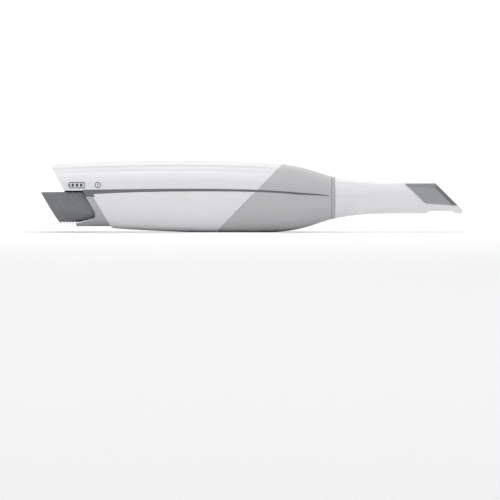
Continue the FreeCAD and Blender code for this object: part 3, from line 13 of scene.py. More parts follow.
import bpy
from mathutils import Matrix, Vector


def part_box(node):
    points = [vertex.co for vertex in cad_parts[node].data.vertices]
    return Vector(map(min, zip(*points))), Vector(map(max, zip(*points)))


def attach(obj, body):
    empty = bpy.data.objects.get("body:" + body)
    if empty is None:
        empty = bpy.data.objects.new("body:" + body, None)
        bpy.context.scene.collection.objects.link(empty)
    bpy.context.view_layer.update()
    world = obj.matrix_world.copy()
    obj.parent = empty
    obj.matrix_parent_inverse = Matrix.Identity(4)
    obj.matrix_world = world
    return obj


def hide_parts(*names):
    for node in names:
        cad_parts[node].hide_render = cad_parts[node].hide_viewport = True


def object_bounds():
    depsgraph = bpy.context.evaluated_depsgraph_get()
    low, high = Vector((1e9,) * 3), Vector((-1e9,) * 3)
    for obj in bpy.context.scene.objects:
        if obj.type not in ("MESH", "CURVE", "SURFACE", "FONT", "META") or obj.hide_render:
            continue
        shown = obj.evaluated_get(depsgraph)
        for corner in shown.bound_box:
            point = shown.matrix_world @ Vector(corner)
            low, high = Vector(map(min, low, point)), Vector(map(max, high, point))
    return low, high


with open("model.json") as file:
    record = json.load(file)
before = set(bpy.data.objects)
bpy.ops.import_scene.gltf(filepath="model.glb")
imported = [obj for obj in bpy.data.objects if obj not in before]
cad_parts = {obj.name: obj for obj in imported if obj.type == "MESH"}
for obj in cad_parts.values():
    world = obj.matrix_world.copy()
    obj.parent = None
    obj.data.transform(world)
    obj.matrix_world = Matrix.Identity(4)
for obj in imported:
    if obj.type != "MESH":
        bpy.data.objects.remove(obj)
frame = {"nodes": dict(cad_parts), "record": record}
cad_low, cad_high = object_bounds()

MM = 0.001
nodes = frame["nodes"]
print(len(nodes), "parts,", [round(v / MM, 1) for v in cad_high - cad_low], "mm overall")

# %% [markdown]
# ## Small helpers for materials
# A colour picked on a screen is an sRGB hex value, but light adds up in linear values, so one
# function turns the first into the second. A material is a little graph of nodes. It could be
# wired by mouse in the shader editor. In code, one function that adds a node, sets it and links
# its inputs keeps each material short enough to read as a recipe: the patterns come first, the
# shader that uses them last.

# %% Colour and node helpers
def linear(hex_colour):
    """An sRGB hex colour such as "d9dadc" as linear red, green, blue and alpha."""
    channels = [int(hex_colour[i:i + 2], 16) / 255 for i in (0, 2, 4)]
    lit = [c / 12.92 if c <= 0.04045 else ((c + 0.055) / 1.055) ** 2.4 for c in channels]
    return lit + [1.0]


def add(tree, kind, inputs, **settings):
    """Adds a node. A socket in inputs is linked and any other value is set on the input."""
    made = tree.nodes.new(kind)
    for name, value in settings.items():
        setattr(made, name, value)
    for name, value in inputs.items():
        if isinstance(value, bpy.types.NodeSocket):
            tree.links.new(value, made.inputs[name])
        else:
            made.inputs[name].default_value = value
    return made


def per_mm(size):
    """The scale of a pattern whose features are that many millimetres apart."""
    return 1 / (size * MM)


def bare_finish(name):
    """A new material, its empty graph, and the object's own coordinates for its patterns."""
    material = bpy.data.materials.new(name)
    material.use_nodes = True
    material.node_tree.nodes.clear()
    tree = material.node_tree
    return material, tree, add(tree, "ShaderNodeTexCoord", {}).outputs["Object"]


FINISH = {}
print("helpers ready")

# %% [markdown]
# ## Moulded plastics
# The covers are injection moulded. A mould's steel leaves its own surface on the plastic: a
# polished cavity leaves a gloss with a faint orange peel a millimetre or two across, and a
# spark-eroded cavity leaves a fine grain that turns gloss into satin. One function makes every
# moulding, and each finish below says which plastic and which cavity it stands for.
# The grain is about 0.05 mm in life. It is drawn coarser so that it still reads from a metre.

# %% A moulding
DRIFT_MM = 14    # colour drifts slightly over a centimetre or two, as pigment does in a melt
PEEL_MM = 1.8    # width of an orange peel wave


def moulded(name, colour, shade, roughness, grain_mm, grain_depth_mm,
            peel_depth_mm=0.0, coat=0.0):
    material, tree, place = bare_finish(name)
    drift = add(tree, "ShaderNodeTexNoise", {
        "Vector": place, "Scale": per_mm(DRIFT_MM), "Detail": 2.0})
    body = add(tree, "ShaderNodeMix", {
        0: drift.outputs["Fac"], 6: linear(colour), 7: linear(shade)}, data_type="RGBA")
    # the cavity's grain, and the slow waves of orange peel under it
    grain = add(tree, "ShaderNodeTexNoise", {
        "Vector": place, "Scale": per_mm(grain_mm), "Detail": 3.0})
    peel = add(tree, "ShaderNodeTexNoise", {
        "Vector": place, "Scale": per_mm(PEEL_MM), "Detail": 1.0})
    gloss = add(tree, "ShaderNodeMapRange", {
        "Value": grain.outputs["Fac"], "To Min": roughness * 0.75, "To Max": roughness * 1.25})
    grained = add(tree, "ShaderNodeMath", {
        0: grain.outputs["Fac"], 1: grain_depth_mm}, operation="MULTIPLY")
    height = add(tree, "ShaderNodeMath", {
        0: peel.outputs["Fac"], 1: peel_depth_mm, 2: grained.outputs["Value"]},
        operation="MULTIPLY_ADD")
    relief = add(tree, "ShaderNodeBump", {"Height": height.outputs["Value"], "Distance": MM})
    shader = add(tree, "ShaderNodeBsdfPrincipled", {
        "Base Color": body.outputs[2], "Roughness": gloss.outputs["Result"], "IOR": 1.53,
        "Coat Weight": coat, "Coat Roughness": 0.08, "Normal": relief.outputs["Normal"]})
    add(tree, "ShaderNodeOutputMaterial", {"Surface": shader.outputs["BSDF"]})
    return material


# %% The covers and the tip
# ABS and polycarbonate blend from a polished cavity: white, with a soft clear gloss
FINISH["white_shell"] = moulded("white_abs_polished", "e9e9eb", "e5e5e7",
                                0.26, 0.3, 0.0012, 0.003, 0.2)
# the same blend from a spark-eroded cavity: light grey satin
FINISH["grey_nose"] = moulded("light_grey_abs_satin", "c0c0c2", "bbbbbd", 0.34, 0.35, 0.003)
# the bezel and collar, a shade darker so that they recede behind the covers
FINISH["grey_bezel"] = moulded("mid_grey_abs_satin", "b9babc", "b3b4b6", 0.38, 0.35, 0.003)
# the side trims: dark grey polyamide, satin
FINISH["dark_trim"] = moulded("dark_grey_polyamide", "747679", "6c6e71", 0.36, 0.3, 0.003)
# the tip has to stand steam at 134 degrees: white polyphenylsulfone with a polish
FINISH["tip_plastic"] = moulded("white_ppsu_polished", "e6e6e8", "e2e2e4",
                                0.26, 0.3, 0.0012, 0.003, 0.2)
# the mirror cap: grey polyphenylsulfone, polished so that water beads off it
FINISH["cap_plastic"] = moulded("grey_ppsu_gloss", "a2a3a6", "9a9b9e",
                                0.14, 0.3, 0.0008, 0.001, 0.7)
print(len(FINISH), "visible mouldings")

# %% [markdown]
# Along the cap's rounded top and front edges its gloss faces up and reflects the dim studio above,
# so the round is darker than the flat side. That dark reflection is painted shade in the base
# colour: a mask that measures how near a point is to the top or to the front, which slants at 45
# degrees, mixes a darker grey over the round.

# %% The cap's round, darkened with painted shade
CAP_ROUND = 3.0 * MM
cap_low, cap_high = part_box("mirror_cap")
to_cap = nodes["mirror_cap"].matrix_world.inverted()
cap_top = to_cap @ Vector((cap_high.x, 0, cap_high.z))
cap_nose = to_cap @ Vector((cap_high.x, 0, cap_low.z))
tree = FINISH["cap_plastic"].node_tree
place = add(tree, "ShaderNodeTexCoord", {}).outputs["Object"]
parts = add(tree, "ShaderNodeSeparateXYZ", {"Vector": place})
below_top = add(tree, "ShaderNodeMath", {
    0: cap_top.z, 1: parts.outputs["Z"]}, operation="SUBTRACT")
along = add(tree, "ShaderNodeMath", {
    0: parts.outputs["X"], 1: parts.outputs["Z"]}, operation="ADD")
behind = add(tree, "ShaderNodeMath", {
    0: cap_nose.x + cap_nose.z, 1: along.outputs["Value"]}, operation="SUBTRACT")
behind_front = add(tree, "ShaderNodeMath", {
    0: behind.outputs["Value"], 1: math.sqrt(0.5)}, operation="MULTIPLY")
nearest = add(tree, "ShaderNodeMath", {
    0: below_top.outputs["Value"], 1: behind_front.outputs["Value"]}, operation="MINIMUM")
side = add(tree, "ShaderNodeMapRange", {
    "Value": nearest.outputs["Value"], "From Min": CAP_ROUND * 0.8, "From Max": CAP_ROUND,
    "To Min": 0.0, "To Max": 1.0})
shader = next(node for node in tree.nodes if node.bl_idname == "ShaderNodeBsdfPrincipled")
flat_colour = shader.inputs["Base Color"].links[0].from_socket
# painted shade: the darker grey 737577 on the round stands in for its dark reflection
deep = add(tree, "ShaderNodeMix", {
    0: side.outputs["Result"], 6: linear("737577"), 7: flat_colour}, data_type="RGBA")
tree.links.new(deep.outputs[2], shader.inputs["Base Color"])
print("cap darkened over", round(CAP_ROUND / MM, 1), "mm")

# %% The hidden mouldings
# the battery case and the focus carriage: black glass-filled polyamide, almost matt
FINISH["case_plastic"] = moulded("black_glass_filled_polyamide", "303134", "28292b",
                                 0.5, 0.5, 0.008)
# epoxy chip bodies: matt black
FINISH["chip_epoxy"] = moulded("moulded_epoxy", "1d1e20", "232427", 0.55, 0.2, 0.004)
# the shrink sleeve on the cells: thin blue PET, tight and shiny
FINISH["cell_sleeve"] = moulded("blue_shrink_sleeve", "2f5f9a", "2a568e", 0.2, 1.2, 0.01)
# the flexible ribbons: amber polyimide film over copper
FINISH["ribbon_film"] = moulded("polyimide_film", "b8721f", "a9661a", 0.22, 0.8, 0.003)
print(len(FINISH), "mouldings in all")


# %% [markdown]
# ## Rubbers
# The grip on the battery is a thermoplastic elastomer moulded over the hard case. Light enters
# it a little and comes back soft, so it has a sheen at the edges, and it takes a fine matt grain
# from the mould. The seals are silicone, smoother. A cell pattern gives the tight pebble of both.

# %% Grip rubber and silicone
POLISH_MM = 9    # hands polish some places more than others: the size of one such cloud


def soft_rubber(name, colour, shade, roughness, sheen, pebble_mm, pebble_depth_mm):
    material, tree, place = bare_finish(name)
    cloud = add(tree, "ShaderNodeTexNoise", {
        "Vector": place, "Scale": per_mm(POLISH_MM), "Detail": 3.0})
    body = add(tree, "ShaderNodeMix", {
        0: cloud.outputs["Fac"], 6: linear(colour), 7: linear(shade)}, data_type="RGBA")
    gloss = add(tree, "ShaderNodeMapRange", {
        "Value": cloud.outputs["Fac"], "To Min": roughness - 0.07, "To Max": roughness + 0.09})
    pebble = add(tree, "ShaderNodeTexVoronoi", {"Vector": place, "Scale": per_mm(pebble_mm)})
    height = add(tree, "ShaderNodeMath", {
        0: pebble.outputs["Distance"], 1: pebble_depth_mm}, operation="MULTIPLY")
    relief = add(tree, "ShaderNodeBump", {"Height": height.outputs["Value"], "Distance": MM})
    shader = add(tree, "ShaderNodeBsdfPrincipled", {
        "Base Color": body.outputs[2], "Roughness": gloss.outputs["Result"], "IOR": 1.5,
        "Sheen Weight": sheen, "Sheen Roughness": 0.45, "Normal": relief.outputs["Normal"]})
    add(tree, "ShaderNodeOutputMaterial", {"Surface": shader.outputs["BSDF"]})
    return material


FINISH["grip_rubber"] = soft_rubber("grey_overmoulded_elastomer", "828487", "76787b",
                                    0.4, 0.5, 0.28, 0.01)
FINISH["silicone"] = soft_rubber("dark_silicone", "4a4b4e", "434447", 0.4, 0.08, 0.4, 0.004)
print("rubbers ready")


# %% [markdown]
# ## Metals
# A metal's colour is the colour of its reflection, so metallic is 1 and the IOR stays as it is.
# What tells metals apart is how they were made: a casting is lightly pebbled, a ground or turned
# part has fine lines along the cutter's path, and an anodised part is etched and dyed. A noise
# pattern squeezed along one axis draws lines, and one that isn't draws pebbles.

# %% Worked metal
def worked_metal(name, colour, shade, roughness, mark_mm, mark_depth_mm, squeeze=(1, 1, 1)):
    material, tree, place = bare_finish(name)
    drawn = add(tree, "ShaderNodeMapping", {"Vector": place, "Scale": squeeze})
    marks = add(tree, "ShaderNodeTexNoise", {
        "Vector": drawn.outputs["Vector"], "Scale": per_mm(mark_mm), "Detail": 4.0})
    body = add(tree, "ShaderNodeMix", {
        0: marks.outputs["Fac"], 6: linear(colour), 7: linear(shade)}, data_type="RGBA")
    gloss = add(tree, "ShaderNodeMapRange", {
        "Value": marks.outputs["Fac"], "To Min": roughness * 0.7, "To Max": roughness * 1.4})
    height = add(tree, "ShaderNodeMath", {
        0: marks.outputs["Fac"], 1: mark_depth_mm}, operation="MULTIPLY")
    relief = add(tree, "ShaderNodeBump", {"Height": height.outputs["Value"], "Distance": MM})
    shader = add(tree, "ShaderNodeBsdfPrincipled", {
        "Base Color": body.outputs[2], "Roughness": gloss.outputs["Result"], "Metallic": 1.0,
        "Normal": relief.outputs["Normal"]})
    add(tree, "ShaderNodeOutputMaterial", {"Surface": shader.outputs["BSDF"]})
    return material


# pressure-cast aluminium: pebbled alike in every direction, a little dull
FINISH["cast_aluminium"] = worked_metal("cast_aluminium", "a9abad", "9b9da0", 0.42, 1.2, 0.03)
# ground steel rods and turned screws: lines round the axis, so the pattern is long across X
FINISH["turned_steel"] = worked_metal("ground_steel", "c3c4c6", "b4b5b8", 0.22, 0.25, 0.002,
                                      (1, 0.05, 0.05))
# black anodised aluminium: the dye lets a little of the metal's gleam through
FINISH["black_anodised"] = worked_metal("black_anodised_aluminium", "2b2c2f", "222326",
                                        0.38, 0.3, 0.003)
# hard gold over nickel on the contacts: warm and smooth
FINISH["gold_contact"] = worked_metal("hard_gold_plate", "e2b866", "d8ab57", 0.2, 0.4, 0.001)
print("metals ready")


# %% [markdown]
# ## The winding
# The voice coil is enamelled copper wire, wound side by side. Each turn is a ridge 0.3 mm from the
# next along the coil's axis, so a wave pattern along X gives the ridges, and the varnish between
# them is darker and rougher. The enamel is a thin clear coat.

# %% Copper winding
TURN = 0.3                           # millimetres from one turn to the next
WAVES_PER_UNIT = 20 / (2 * math.pi)  # how many ridges a wave pattern of scale 1 draws in 1 m
copper, tree, place = bare_finish("enamelled_copper_winding")
turns = add(tree, "ShaderNodeTexWave", {
    "Vector": place, "Scale": per_mm(TURN) / WAVES_PER_UNIT}, bands_direction="X")
wire = add(tree, "ShaderNodeMix", {
    0: turns.outputs["Fac"], 6: linear("8f4a24"), 7: linear("c9733d")}, data_type="RGBA")
gloss = add(tree, "ShaderNodeMapRange", {
    "Value": turns.outputs["Fac"], "To Min": 0.42, "To Max": 0.24})
ridge = add(tree, "ShaderNodeMath", {
    0: turns.outputs["Fac"], 1: TURN / 4}, operation="MULTIPLY")
relief = add(tree, "ShaderNodeBump", {"Height": ridge.outputs["Value"], "Distance": MM})
shader = add(tree, "ShaderNodeBsdfPrincipled", {
    "Base Color": wire.outputs[2], "Roughness": gloss.outputs["Result"], "Metallic": 1.0,
    "Coat Weight": 0.5, "Normal": relief.outputs["Normal"]})
add(tree, "ShaderNodeOutputMaterial", {"Surface": shader.outputs["BSDF"]})
FINISH["copper_coil"] = copper
print("winding ready")

# %% [markdown]
# ## Glass, mirror and light guide
# Lenses are clear glass under a coating that leaves a faint violet gleam. The mirror is silvered
# on its front face, so it is simply a metal as smooth as it gets. The ring round the button is
# frosted polycarbonate that spreads the light of a few small lamps below it. Each is polished by
# hand or machine, which leaves a slow, very slight change of smoothness and nothing else.

# %% Coated lenses
glass, tree, place = bare_finish("coated_optical_glass")
polish = add(tree, "ShaderNodeTexNoise", {"Vector": place, "Scale": per_mm(6), "Detail": 2.0})
tone = add(tree, "ShaderNodeMix", {
    0: polish.outputs["Fac"], 6: linear("f4f7f8"), 7: linear("e9eff2")}, data_type="RGBA")
gloss = add(tree, "ShaderNodeMapRange", {
    "Value": polish.outputs["Fac"], "To Min": 0.0, "To Max": 0.03})
shader = add(tree, "ShaderNodeBsdfPrincipled", {
    "Base Color": tone.outputs[2], "Roughness": gloss.outputs["Result"], "IOR": 1.52,
    "Transmission Weight": 1.0, "Coat Weight": 0.4, "Coat Roughness": 0.02,
    "Coat Tint": linear("b9b4e6")})
add(tree, "ShaderNodeOutputMaterial", {"Surface": shader.outputs["BSDF"]})
FINISH["optical_glass"] = glass
print("glass ready")

# %% Front-silvered mirror
mirror, tree, place = bare_finish("front_silvered_mirror")
polish = add(tree, "ShaderNodeTexNoise", {"Vector": place, "Scale": per_mm(5), "Detail": 2.0})
silver = add(tree, "ShaderNodeMix", {
    0: polish.outputs["Fac"], 6: linear("eef1f4"), 7: linear("e4e9ee")}, data_type="RGBA")
gloss = add(tree, "ShaderNodeMapRange", {
    "Value": polish.outputs["Fac"], "To Min": 0.0, "To Max": 0.05})
shader = add(tree, "ShaderNodeBsdfPrincipled", {
    "Base Color": silver.outputs[2], "Roughness": gloss.outputs["Result"], "Metallic": 1.0})
add(tree, "ShaderNodeOutputMaterial", {"Surface": shader.outputs["BSDF"]})
FINISH["mirror_glass"] = mirror
print("mirror ready")

# %% Frosted light guide
guide, tree, place = bare_finish("frosted_polycarbonate")
frost = add(tree, "ShaderNodeTexNoise", {"Vector": place, "Scale": per_mm(0.6), "Detail": 3.0})
milk = add(tree, "ShaderNodeMix", {
    0: frost.outputs["Fac"], 6: linear("e9f4f0"), 7: linear("dcebe6")}, data_type="RGBA")
gloss = add(tree, "ShaderNodeMapRange", {
    "Value": frost.outputs["Fac"], "To Min": 0.3, "To Max": 0.5})
shader = add(tree, "ShaderNodeBsdfPrincipled", {
    "Base Color": milk.outputs[2], "Roughness": gloss.outputs["Result"], "IOR": 1.58,
    "Transmission Weight": 0.35, "Emission Color": linear("dff3ea"), "Emission Strength": 0.25})
add(tree, "ShaderNodeOutputMaterial", {"Surface": shader.outputs["BSDF"]})
FINISH["light_guide"] = guide
print("light guide ready")

# %% [markdown]
# ## Circuit board
# A board is glass fibre under green solder mask. The copper tracks beneath the mask show as
# slightly raised, lighter lines. A brick pattern with thin joints stands for the tracks, with
# pads about 4 mm apart: real tracks are finer and would only blur at this size.

# %% Solder mask
TRACK_PITCH = 4.0
TRACK_HEIGHT = 0.03
board, tree, place = bare_finish("green_solder_mask")
tracks = add(tree, "ShaderNodeTexBrick", {
    "Vector": place, "Scale": per_mm(TRACK_PITCH), "Mortar Size": 0.035, "Brick Width": 0.9,
    "Row Height": 0.32, "Color1": linear("0f4a2c"), "Color2": linear("125232"),
    "Mortar": linear("2c7a4c")})
speck = add(tree, "ShaderNodeTexNoise", {"Vector": place, "Scale": per_mm(0.5)})
gloss = add(tree, "ShaderNodeMapRange", {
    "Value": speck.outputs["Fac"], "To Min": 0.25, "To Max": 0.45})
raised = add(tree, "ShaderNodeMath", {
    0: tracks.outputs["Fac"], 1: TRACK_HEIGHT}, operation="MULTIPLY")
relief = add(tree, "ShaderNodeBump", {"Height": raised.outputs["Value"], "Distance": MM})
shader = add(tree, "ShaderNodeBsdfPrincipled", {
    "Base Color": tracks.outputs["Color"], "Roughness": gloss.outputs["Result"], "IOR": 1.5,
    "Coat Weight": 0.3, "Normal": relief.outputs["Normal"]})
add(tree, "ShaderNodeOutputMaterial", {"Surface": shader.outputs["BSDF"]})
FINISH["circuit_board"] = board
print("board ready")

# %% [markdown]
# ## Dressing the engineering parts
# Every part of the model names the finish it takes, so one loop dresses them all. Their meshes
# carry the exact directions of the curved faces they were cut from, so they already shade
# smoothly and keep their crisp edges, and nothing else needs to be done to them.

# %% Dress every part
for part in frame["record"]["subparts"]:
    coat = nodes[part["node"]].data.materials
    coat.clear()
    coat.append(FINISH[part["material_slot"]])
print(len(nodes), "parts dressed in", len(FINISH), "finishes")

# %% [markdown]
# ## Modelling by hand
# The new pieces are made the way one would in the viewport: add a primitive, go into edit mode,
# select, then extrude, inset, bevel or cut. An operator acts on all that is selected, so every
# piece starts with everything deselected, and edges or faces are picked by where they are.
# One helper deselects, one starts a piece, one picks, one breaks sharp edges and one ends a piece.

# %% Helpers for hand work
def deselect_all():
    bpy.ops.object.select_all(action="DESELECT")


def start_piece(name):
    """Goes into edit mode on the primitive that was just added."""
    piece = bpy.context.object
    piece.name = piece.data.name = name
    bpy.ops.object.mode_set(mode="EDIT")
    return piece


def pick(piece, kind, wanted):
    """Selects the vertices, edges or faces for which wanted is true of all their corners."""
    bpy.ops.object.mode_set(mode="OBJECT")
    mesh = piece.data
    for group in (mesh.vertices, mesh.edges, mesh.polygons):
        group.foreach_set("select", [False] * len(group))
    if kind == "VERT":
        chosen = [v for v in mesh.vertices if wanted(v.co)]
    else:
        group = mesh.edges if kind == "EDGE" else mesh.polygons
        chosen = [e for e in group if all(wanted(mesh.vertices[i].co) for i in e.vertices)]
    for element in chosen:
        element.select = True
    bpy.ops.object.mode_set(mode="EDIT")
    bpy.ops.mesh.select_mode(type=kind)


def bevel_sharp_edges(width):
    """Breaks every sharp edge of the piece in edit mode with a narrow bevel."""
    bpy.ops.mesh.select_all(action="DESELECT")
    bpy.ops.mesh.select_mode(type="EDGE")
    bpy.ops.mesh.edges_select_sharp(sharpness=math.radians(40))
    bpy.ops.mesh.bevel(offset=width, segments=2, profile=0.5, affect="EDGES")


MERGE = 0.003 * MM


def end_piece(piece, finish, body, smooth_degrees=40):
    """Leaves edit mode, puts the place into the mesh, shades it and hangs it on its body."""
    bpy.ops.mesh.select_all(action="SELECT")
    bpy.ops.mesh.remove_doubles(threshold=MERGE)
    bpy.ops.mesh.normals_make_consistent(inside=False)
    bpy.ops.object.mode_set(mode="OBJECT")
    bpy.ops.object.transform_apply(location=True, rotation=True, scale=True)
    bpy.ops.object.shade_smooth_by_angle(angle=math.radians(smooth_degrees))
    piece.data.materials.append(finish)
    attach(piece, body)
    print(piece.name, len(piece.data.polygons), "faces")


print("hand tools ready")

# %% [markdown]
# ## The battery grip
# The battery is pulled out by a grip of soft rubber with thirteen slanted ribs, which run
# right round it and give its upper edge a wavy outline. It could be drawn as a section and swept,
# but the ends slant by 30 degrees while the section does not, so it is quicker to start from a
# block: round its two lower edges with one wide bevel each, leaving a narrow flat keel between
# them, then cut the slanted ends and the clipped front corner off it with bisecting planes. More
# planes cross the grip without cutting it. Each leaves a ring of vertices, and pulling the rings
# in by a cosine makes the wave of the ribs.

# %% A block with the grip's section
SLANT = math.radians(30)
LEAN = Vector((math.cos(SLANT), 0, math.sin(SLANT)))
EDGE = 0.01 * MM    # how near a corner has to be to a place to count as there
FINE = 0.001 * MM   # how near a corner has to be to a cutting plane to lie on it
KEEL = 1.0 * MM     # half width of the flat between the two wide bevels
BLOCK_LENGTH = 50 * MM
grip_low, grip_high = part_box("battery_grip")
grip_wide = grip_high.y - grip_low.y
grip_tall = grip_high.z - grip_low.z

deselect_all()
bpy.ops.mesh.primitive_cube_add(size=1, location=(grip_low + grip_high) / 2,
                                scale=(BLOCK_LENGTH, grip_wide, grip_tall))
bpy.ops.object.transform_apply(location=True, rotation=True, scale=True)
grip = start_piece("ribbed_grip")
pick(grip, "EDGE", lambda p: p.z < grip_low.z + EDGE and p.y > 0)
bpy.ops.mesh.bevel(offset=grip_wide / 2 - KEEL, segments=14, profile=0.5, affect="EDGES")
pick(grip, "EDGE", lambda p: p.z < grip_low.z + EDGE and p.y < -KEEL - EDGE)
bpy.ops.mesh.bevel(offset=grip_wide / 2 - KEEL, segments=14, profile=0.5, affect="EDGES")
print("block", round(grip_wide / MM, 1), "mm wide,", round(grip_tall / MM, 1), "mm tall")


# %% Slanted ends and the clipped corner
def cut_away(point, outward):
    """Cuts the piece with a plane, closes it, and keeps the side that outward points away from."""
    bpy.ops.mesh.select_all(action="SELECT")
    bpy.ops.mesh.bisect(plane_co=point, plane_no=outward, use_fill=True, clear_outer=True,
                        threshold=FINE)


def on_slant(x_at_top, z):
    """Where a slanted line that meets the grip's top edge at x_at_top is at height z."""
    return x_at_top + (grip_high.z - z) * math.tan(SLANT)


TOP_LENGTH = 27.2 * MM
CLIP_RISE = 3.75 * MM
CLIP_BACK = 12.95 * MM
CORNER_BEVEL = 3.4 * MM
END_BEVEL = 0.5 * MM
x_front = grip_low.x + TOP_LENGTH
clip_z = grip_low.z + CLIP_RISE
clip_corner = Vector((on_slant(x_front, clip_z), 0, clip_z))
cut_away((grip_low.x, 0, grip_high.z), -LEAN)
cut_away((x_front, 0, grip_high.z), LEAN)
cut_away(clip_corner, Vector((CLIP_RISE, 0, -CLIP_BACK)).normalized())
pick(grip, "EDGE",
     lambda p: abs(p.x - clip_corner.x) < EDGE and abs(p.z - clip_corner.z) < EDGE)
bpy.ops.mesh.bevel(offset=CORNER_BEVEL, segments=6, profile=0.5, affect="EDGES")
bevel_sharp_edges(END_BEVEL)
print("ends cut at", round(math.degrees(SLANT)), "degrees")

# %% Ribs
RIB_PITCH = 2.0 * MM
RIB_DEPTH = 0.6 * MM
RINGS_PER_RIB = 8
FIRST_RIB = 0.7 * MM
PHASE_MATCH = 0.01    # share of a rib by which a corner may be off its ring
rear_line = Vector((grip_low.x + FIRST_RIB, 0, grip_high.z))
ribs = int((clip_corner.x - on_slant(rear_line.x, clip_z)) / RIB_PITCH)
step = RIB_PITCH / RINGS_PER_RIB
for ring in range(ribs * RINGS_PER_RIB + 1):
    bpy.ops.mesh.select_all(action="SELECT")
    bpy.ops.mesh.bisect(plane_co=rear_line + Vector((ring * step, 0, 0)), plane_no=LEAN,
                        threshold=FINE)


def rib_phase(point):
    """How far a point is along the ribs, in ribs, measured along X from the first line."""
    return (point - rear_line).dot(LEAN) / (RIB_PITCH * math.cos(SLANT))


for ring in range(1, RINGS_PER_RIB):
    pull = RIB_DEPTH * (1 - math.cos(2 * math.pi * ring / RINGS_PER_RIB)) / 2
    share = ring / RINGS_PER_RIB
    pick(grip, "VERT", lambda p: (0 < rib_phase(p) < ribs
                                  and abs(rib_phase(p) % 1 - share) < PHASE_MATCH))
    bpy.ops.transform.shrink_fatten(value=-pull)
end_piece(grip, FINISH["grip_rubber"], "battery", 60)
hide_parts("battery_grip")
print(ribs, "ribs,", round(RIB_PITCH / MM, 1), "mm apart")

# %% [markdown]
# ## The battery's top rail
# The battery hangs under the handle from a flat black rail, and only its side can be seen, as a
# dark line between the grip and the cover. It starts as a flat block whose ends are cut on the
# handle's slant. A shallow pan is inset and pushed into its top so that it slides on its borders
# alone, and a narrow bevel breaks its edges, as a mould maker would.

# %% Rail
RAIL_LENGTH = 11.0 * MM
RAIL_WIDTH = 24.0 * MM
RAIL_CLEAR = 0.25 * MM
RAIL_SETBACK = 0.8 * MM
RAIL_BEVEL = 0.12 * MM
PAN_BORDER = 1.5 * MM
PAN_DEPTH = 0.3 * MM
rail_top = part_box("top_shell")[0].z - RAIL_CLEAR
rail_tall = rail_top - grip_high.z
rail_front = x_front - RAIL_SETBACK

deselect_all()
bpy.ops.mesh.primitive_cube_add(size=1, location=(rail_front, 0, grip_high.z + rail_tall / 2),
                                scale=(BLOCK_LENGTH, RAIL_WIDTH, rail_tall))
bpy.ops.object.transform_apply(location=True, rotation=True, scale=True)
rail = start_piece("battery_rail")
cut_away((rail_front, 0, grip_high.z), LEAN)
cut_away((rail_front - RAIL_LENGTH, 0, grip_high.z), -LEAN)
pick(rail, "FACE", lambda p: p.z > rail_top - EDGE)
bpy.ops.mesh.inset(thickness=PAN_BORDER)
bpy.ops.mesh.extrude_region_move(TRANSFORM_OT_translate={"value": (0, 0, -PAN_DEPTH)})
bevel_sharp_edges(RAIL_BEVEL)
end_piece(rail, FINISH["case_plastic"], "battery")
print("rail", round(rail_tall / MM, 2), "mm tall")

# %% [markdown]
# ## The scan button
# The button is the one place a thumb looks for without sight, so its top is a shallow dish with a
# soft rim, set a little below the crown of the handle. The cap starts as a short cylinder. Its top
# face is inset in rings, the rings are laid onto the curved top of the engineering button with a
# Shrinkwrap modifier, and then lowered towards the middle, so the dish follows the handle's crown.

# %% Cap and rings
button_low, button_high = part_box("scan_button")
BUTTON_GAP = 0.1 * MM
BUTTON = (button_high.x - button_low.x) / 2 - BUTTON_GAP    # the cap's radius
axis = (button_low + button_high) / 2
CAP_FOOT = 1.05 * MM    # the cap's underside, above the stem's foot
RIM = 0.5 * MM
DISH = 0.55 * MM
DISH_RINGS = 7
ABOVE = 1.0 * MM    # how far over the crown the cap starts, before it is laid down
foot = button_low.z + CAP_FOOT
top = button_high.z + ABOVE

deselect_all()
bpy.ops.mesh.primitive_cylinder_add(vertices=72, radius=BUTTON, depth=top - foot,
                                    location=(axis.x, axis.y, (foot + top) / 2))
bpy.ops.object.transform_apply(location=True, rotation=True, scale=True)
button = start_piece("dished_button")
pick(button, "FACE", lambda p: p.z > top - EDGE)
bpy.ops.mesh.inset(thickness=RIM)
ring_width = (BUTTON - RIM) / (DISH_RINGS + 1)
for _ in range(DISH_RINGS):
    bpy.ops.mesh.inset(thickness=ring_width)
pick(button, "VERT", lambda p: p.z > top - EDGE)
bpy.ops.object.vertex_group_assign_new()
bpy.ops.object.mode_set(mode="OBJECT")
drape = button.modifiers.new("lay_on_crown", "SHRINKWRAP")
drape.target = nodes["scan_button"]
drape.wrap_method = "PROJECT"
drape.use_project_z = True
drape.use_negative_direction = True
drape.use_positive_direction = False
drape.vertex_group = button.vertex_groups[0].name
bpy.ops.object.modifier_apply(modifier=drape.name)
bpy.ops.object.mode_set(mode="EDIT")
print("cap", round(2 * BUTTON / MM, 1), "mm across")

# %% The dish
RIM_BEVEL = 0.3 * MM
STEM_RADIUS = 1.8 * MM


def from_axis(point):
    return math.hypot(point.x - axis.x, point.y - axis.y)


for ring in range(DISH_RINGS + 1):
    inside = BUTTON - RIM - ring * ring_width
    share = inside / (BUTTON - RIM)
    pick(button, "VERT",
         lambda p: p.z > foot + EDGE and abs(from_axis(p) - inside) < ring_width / 3)
    bpy.ops.transform.translate(value=(0, 0, -DISH * (1 - share**2)))
pick(button, "EDGE", lambda p: p.z > foot + EDGE and from_axis(p) > BUTTON - EDGE)
bpy.ops.mesh.bevel(offset=RIM_BEVEL, segments=3, profile=0.5, affect="EDGES")
# the stem that works the switch, drawn out of the cap's underside
pick(button, "FACE", lambda p: p.z < foot + EDGE)
bpy.ops.mesh.inset(thickness=BUTTON - STEM_RADIUS)
stem = (0, 0, button_low.z - foot)
bpy.ops.mesh.extrude_region_move(TRANSFORM_OT_translate={"value": stem})
end_piece(button, FINISH["white_shell"], "button", 50)
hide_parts("scan_button")
print("dish", round(DISH / MM, 2), "mm deep")

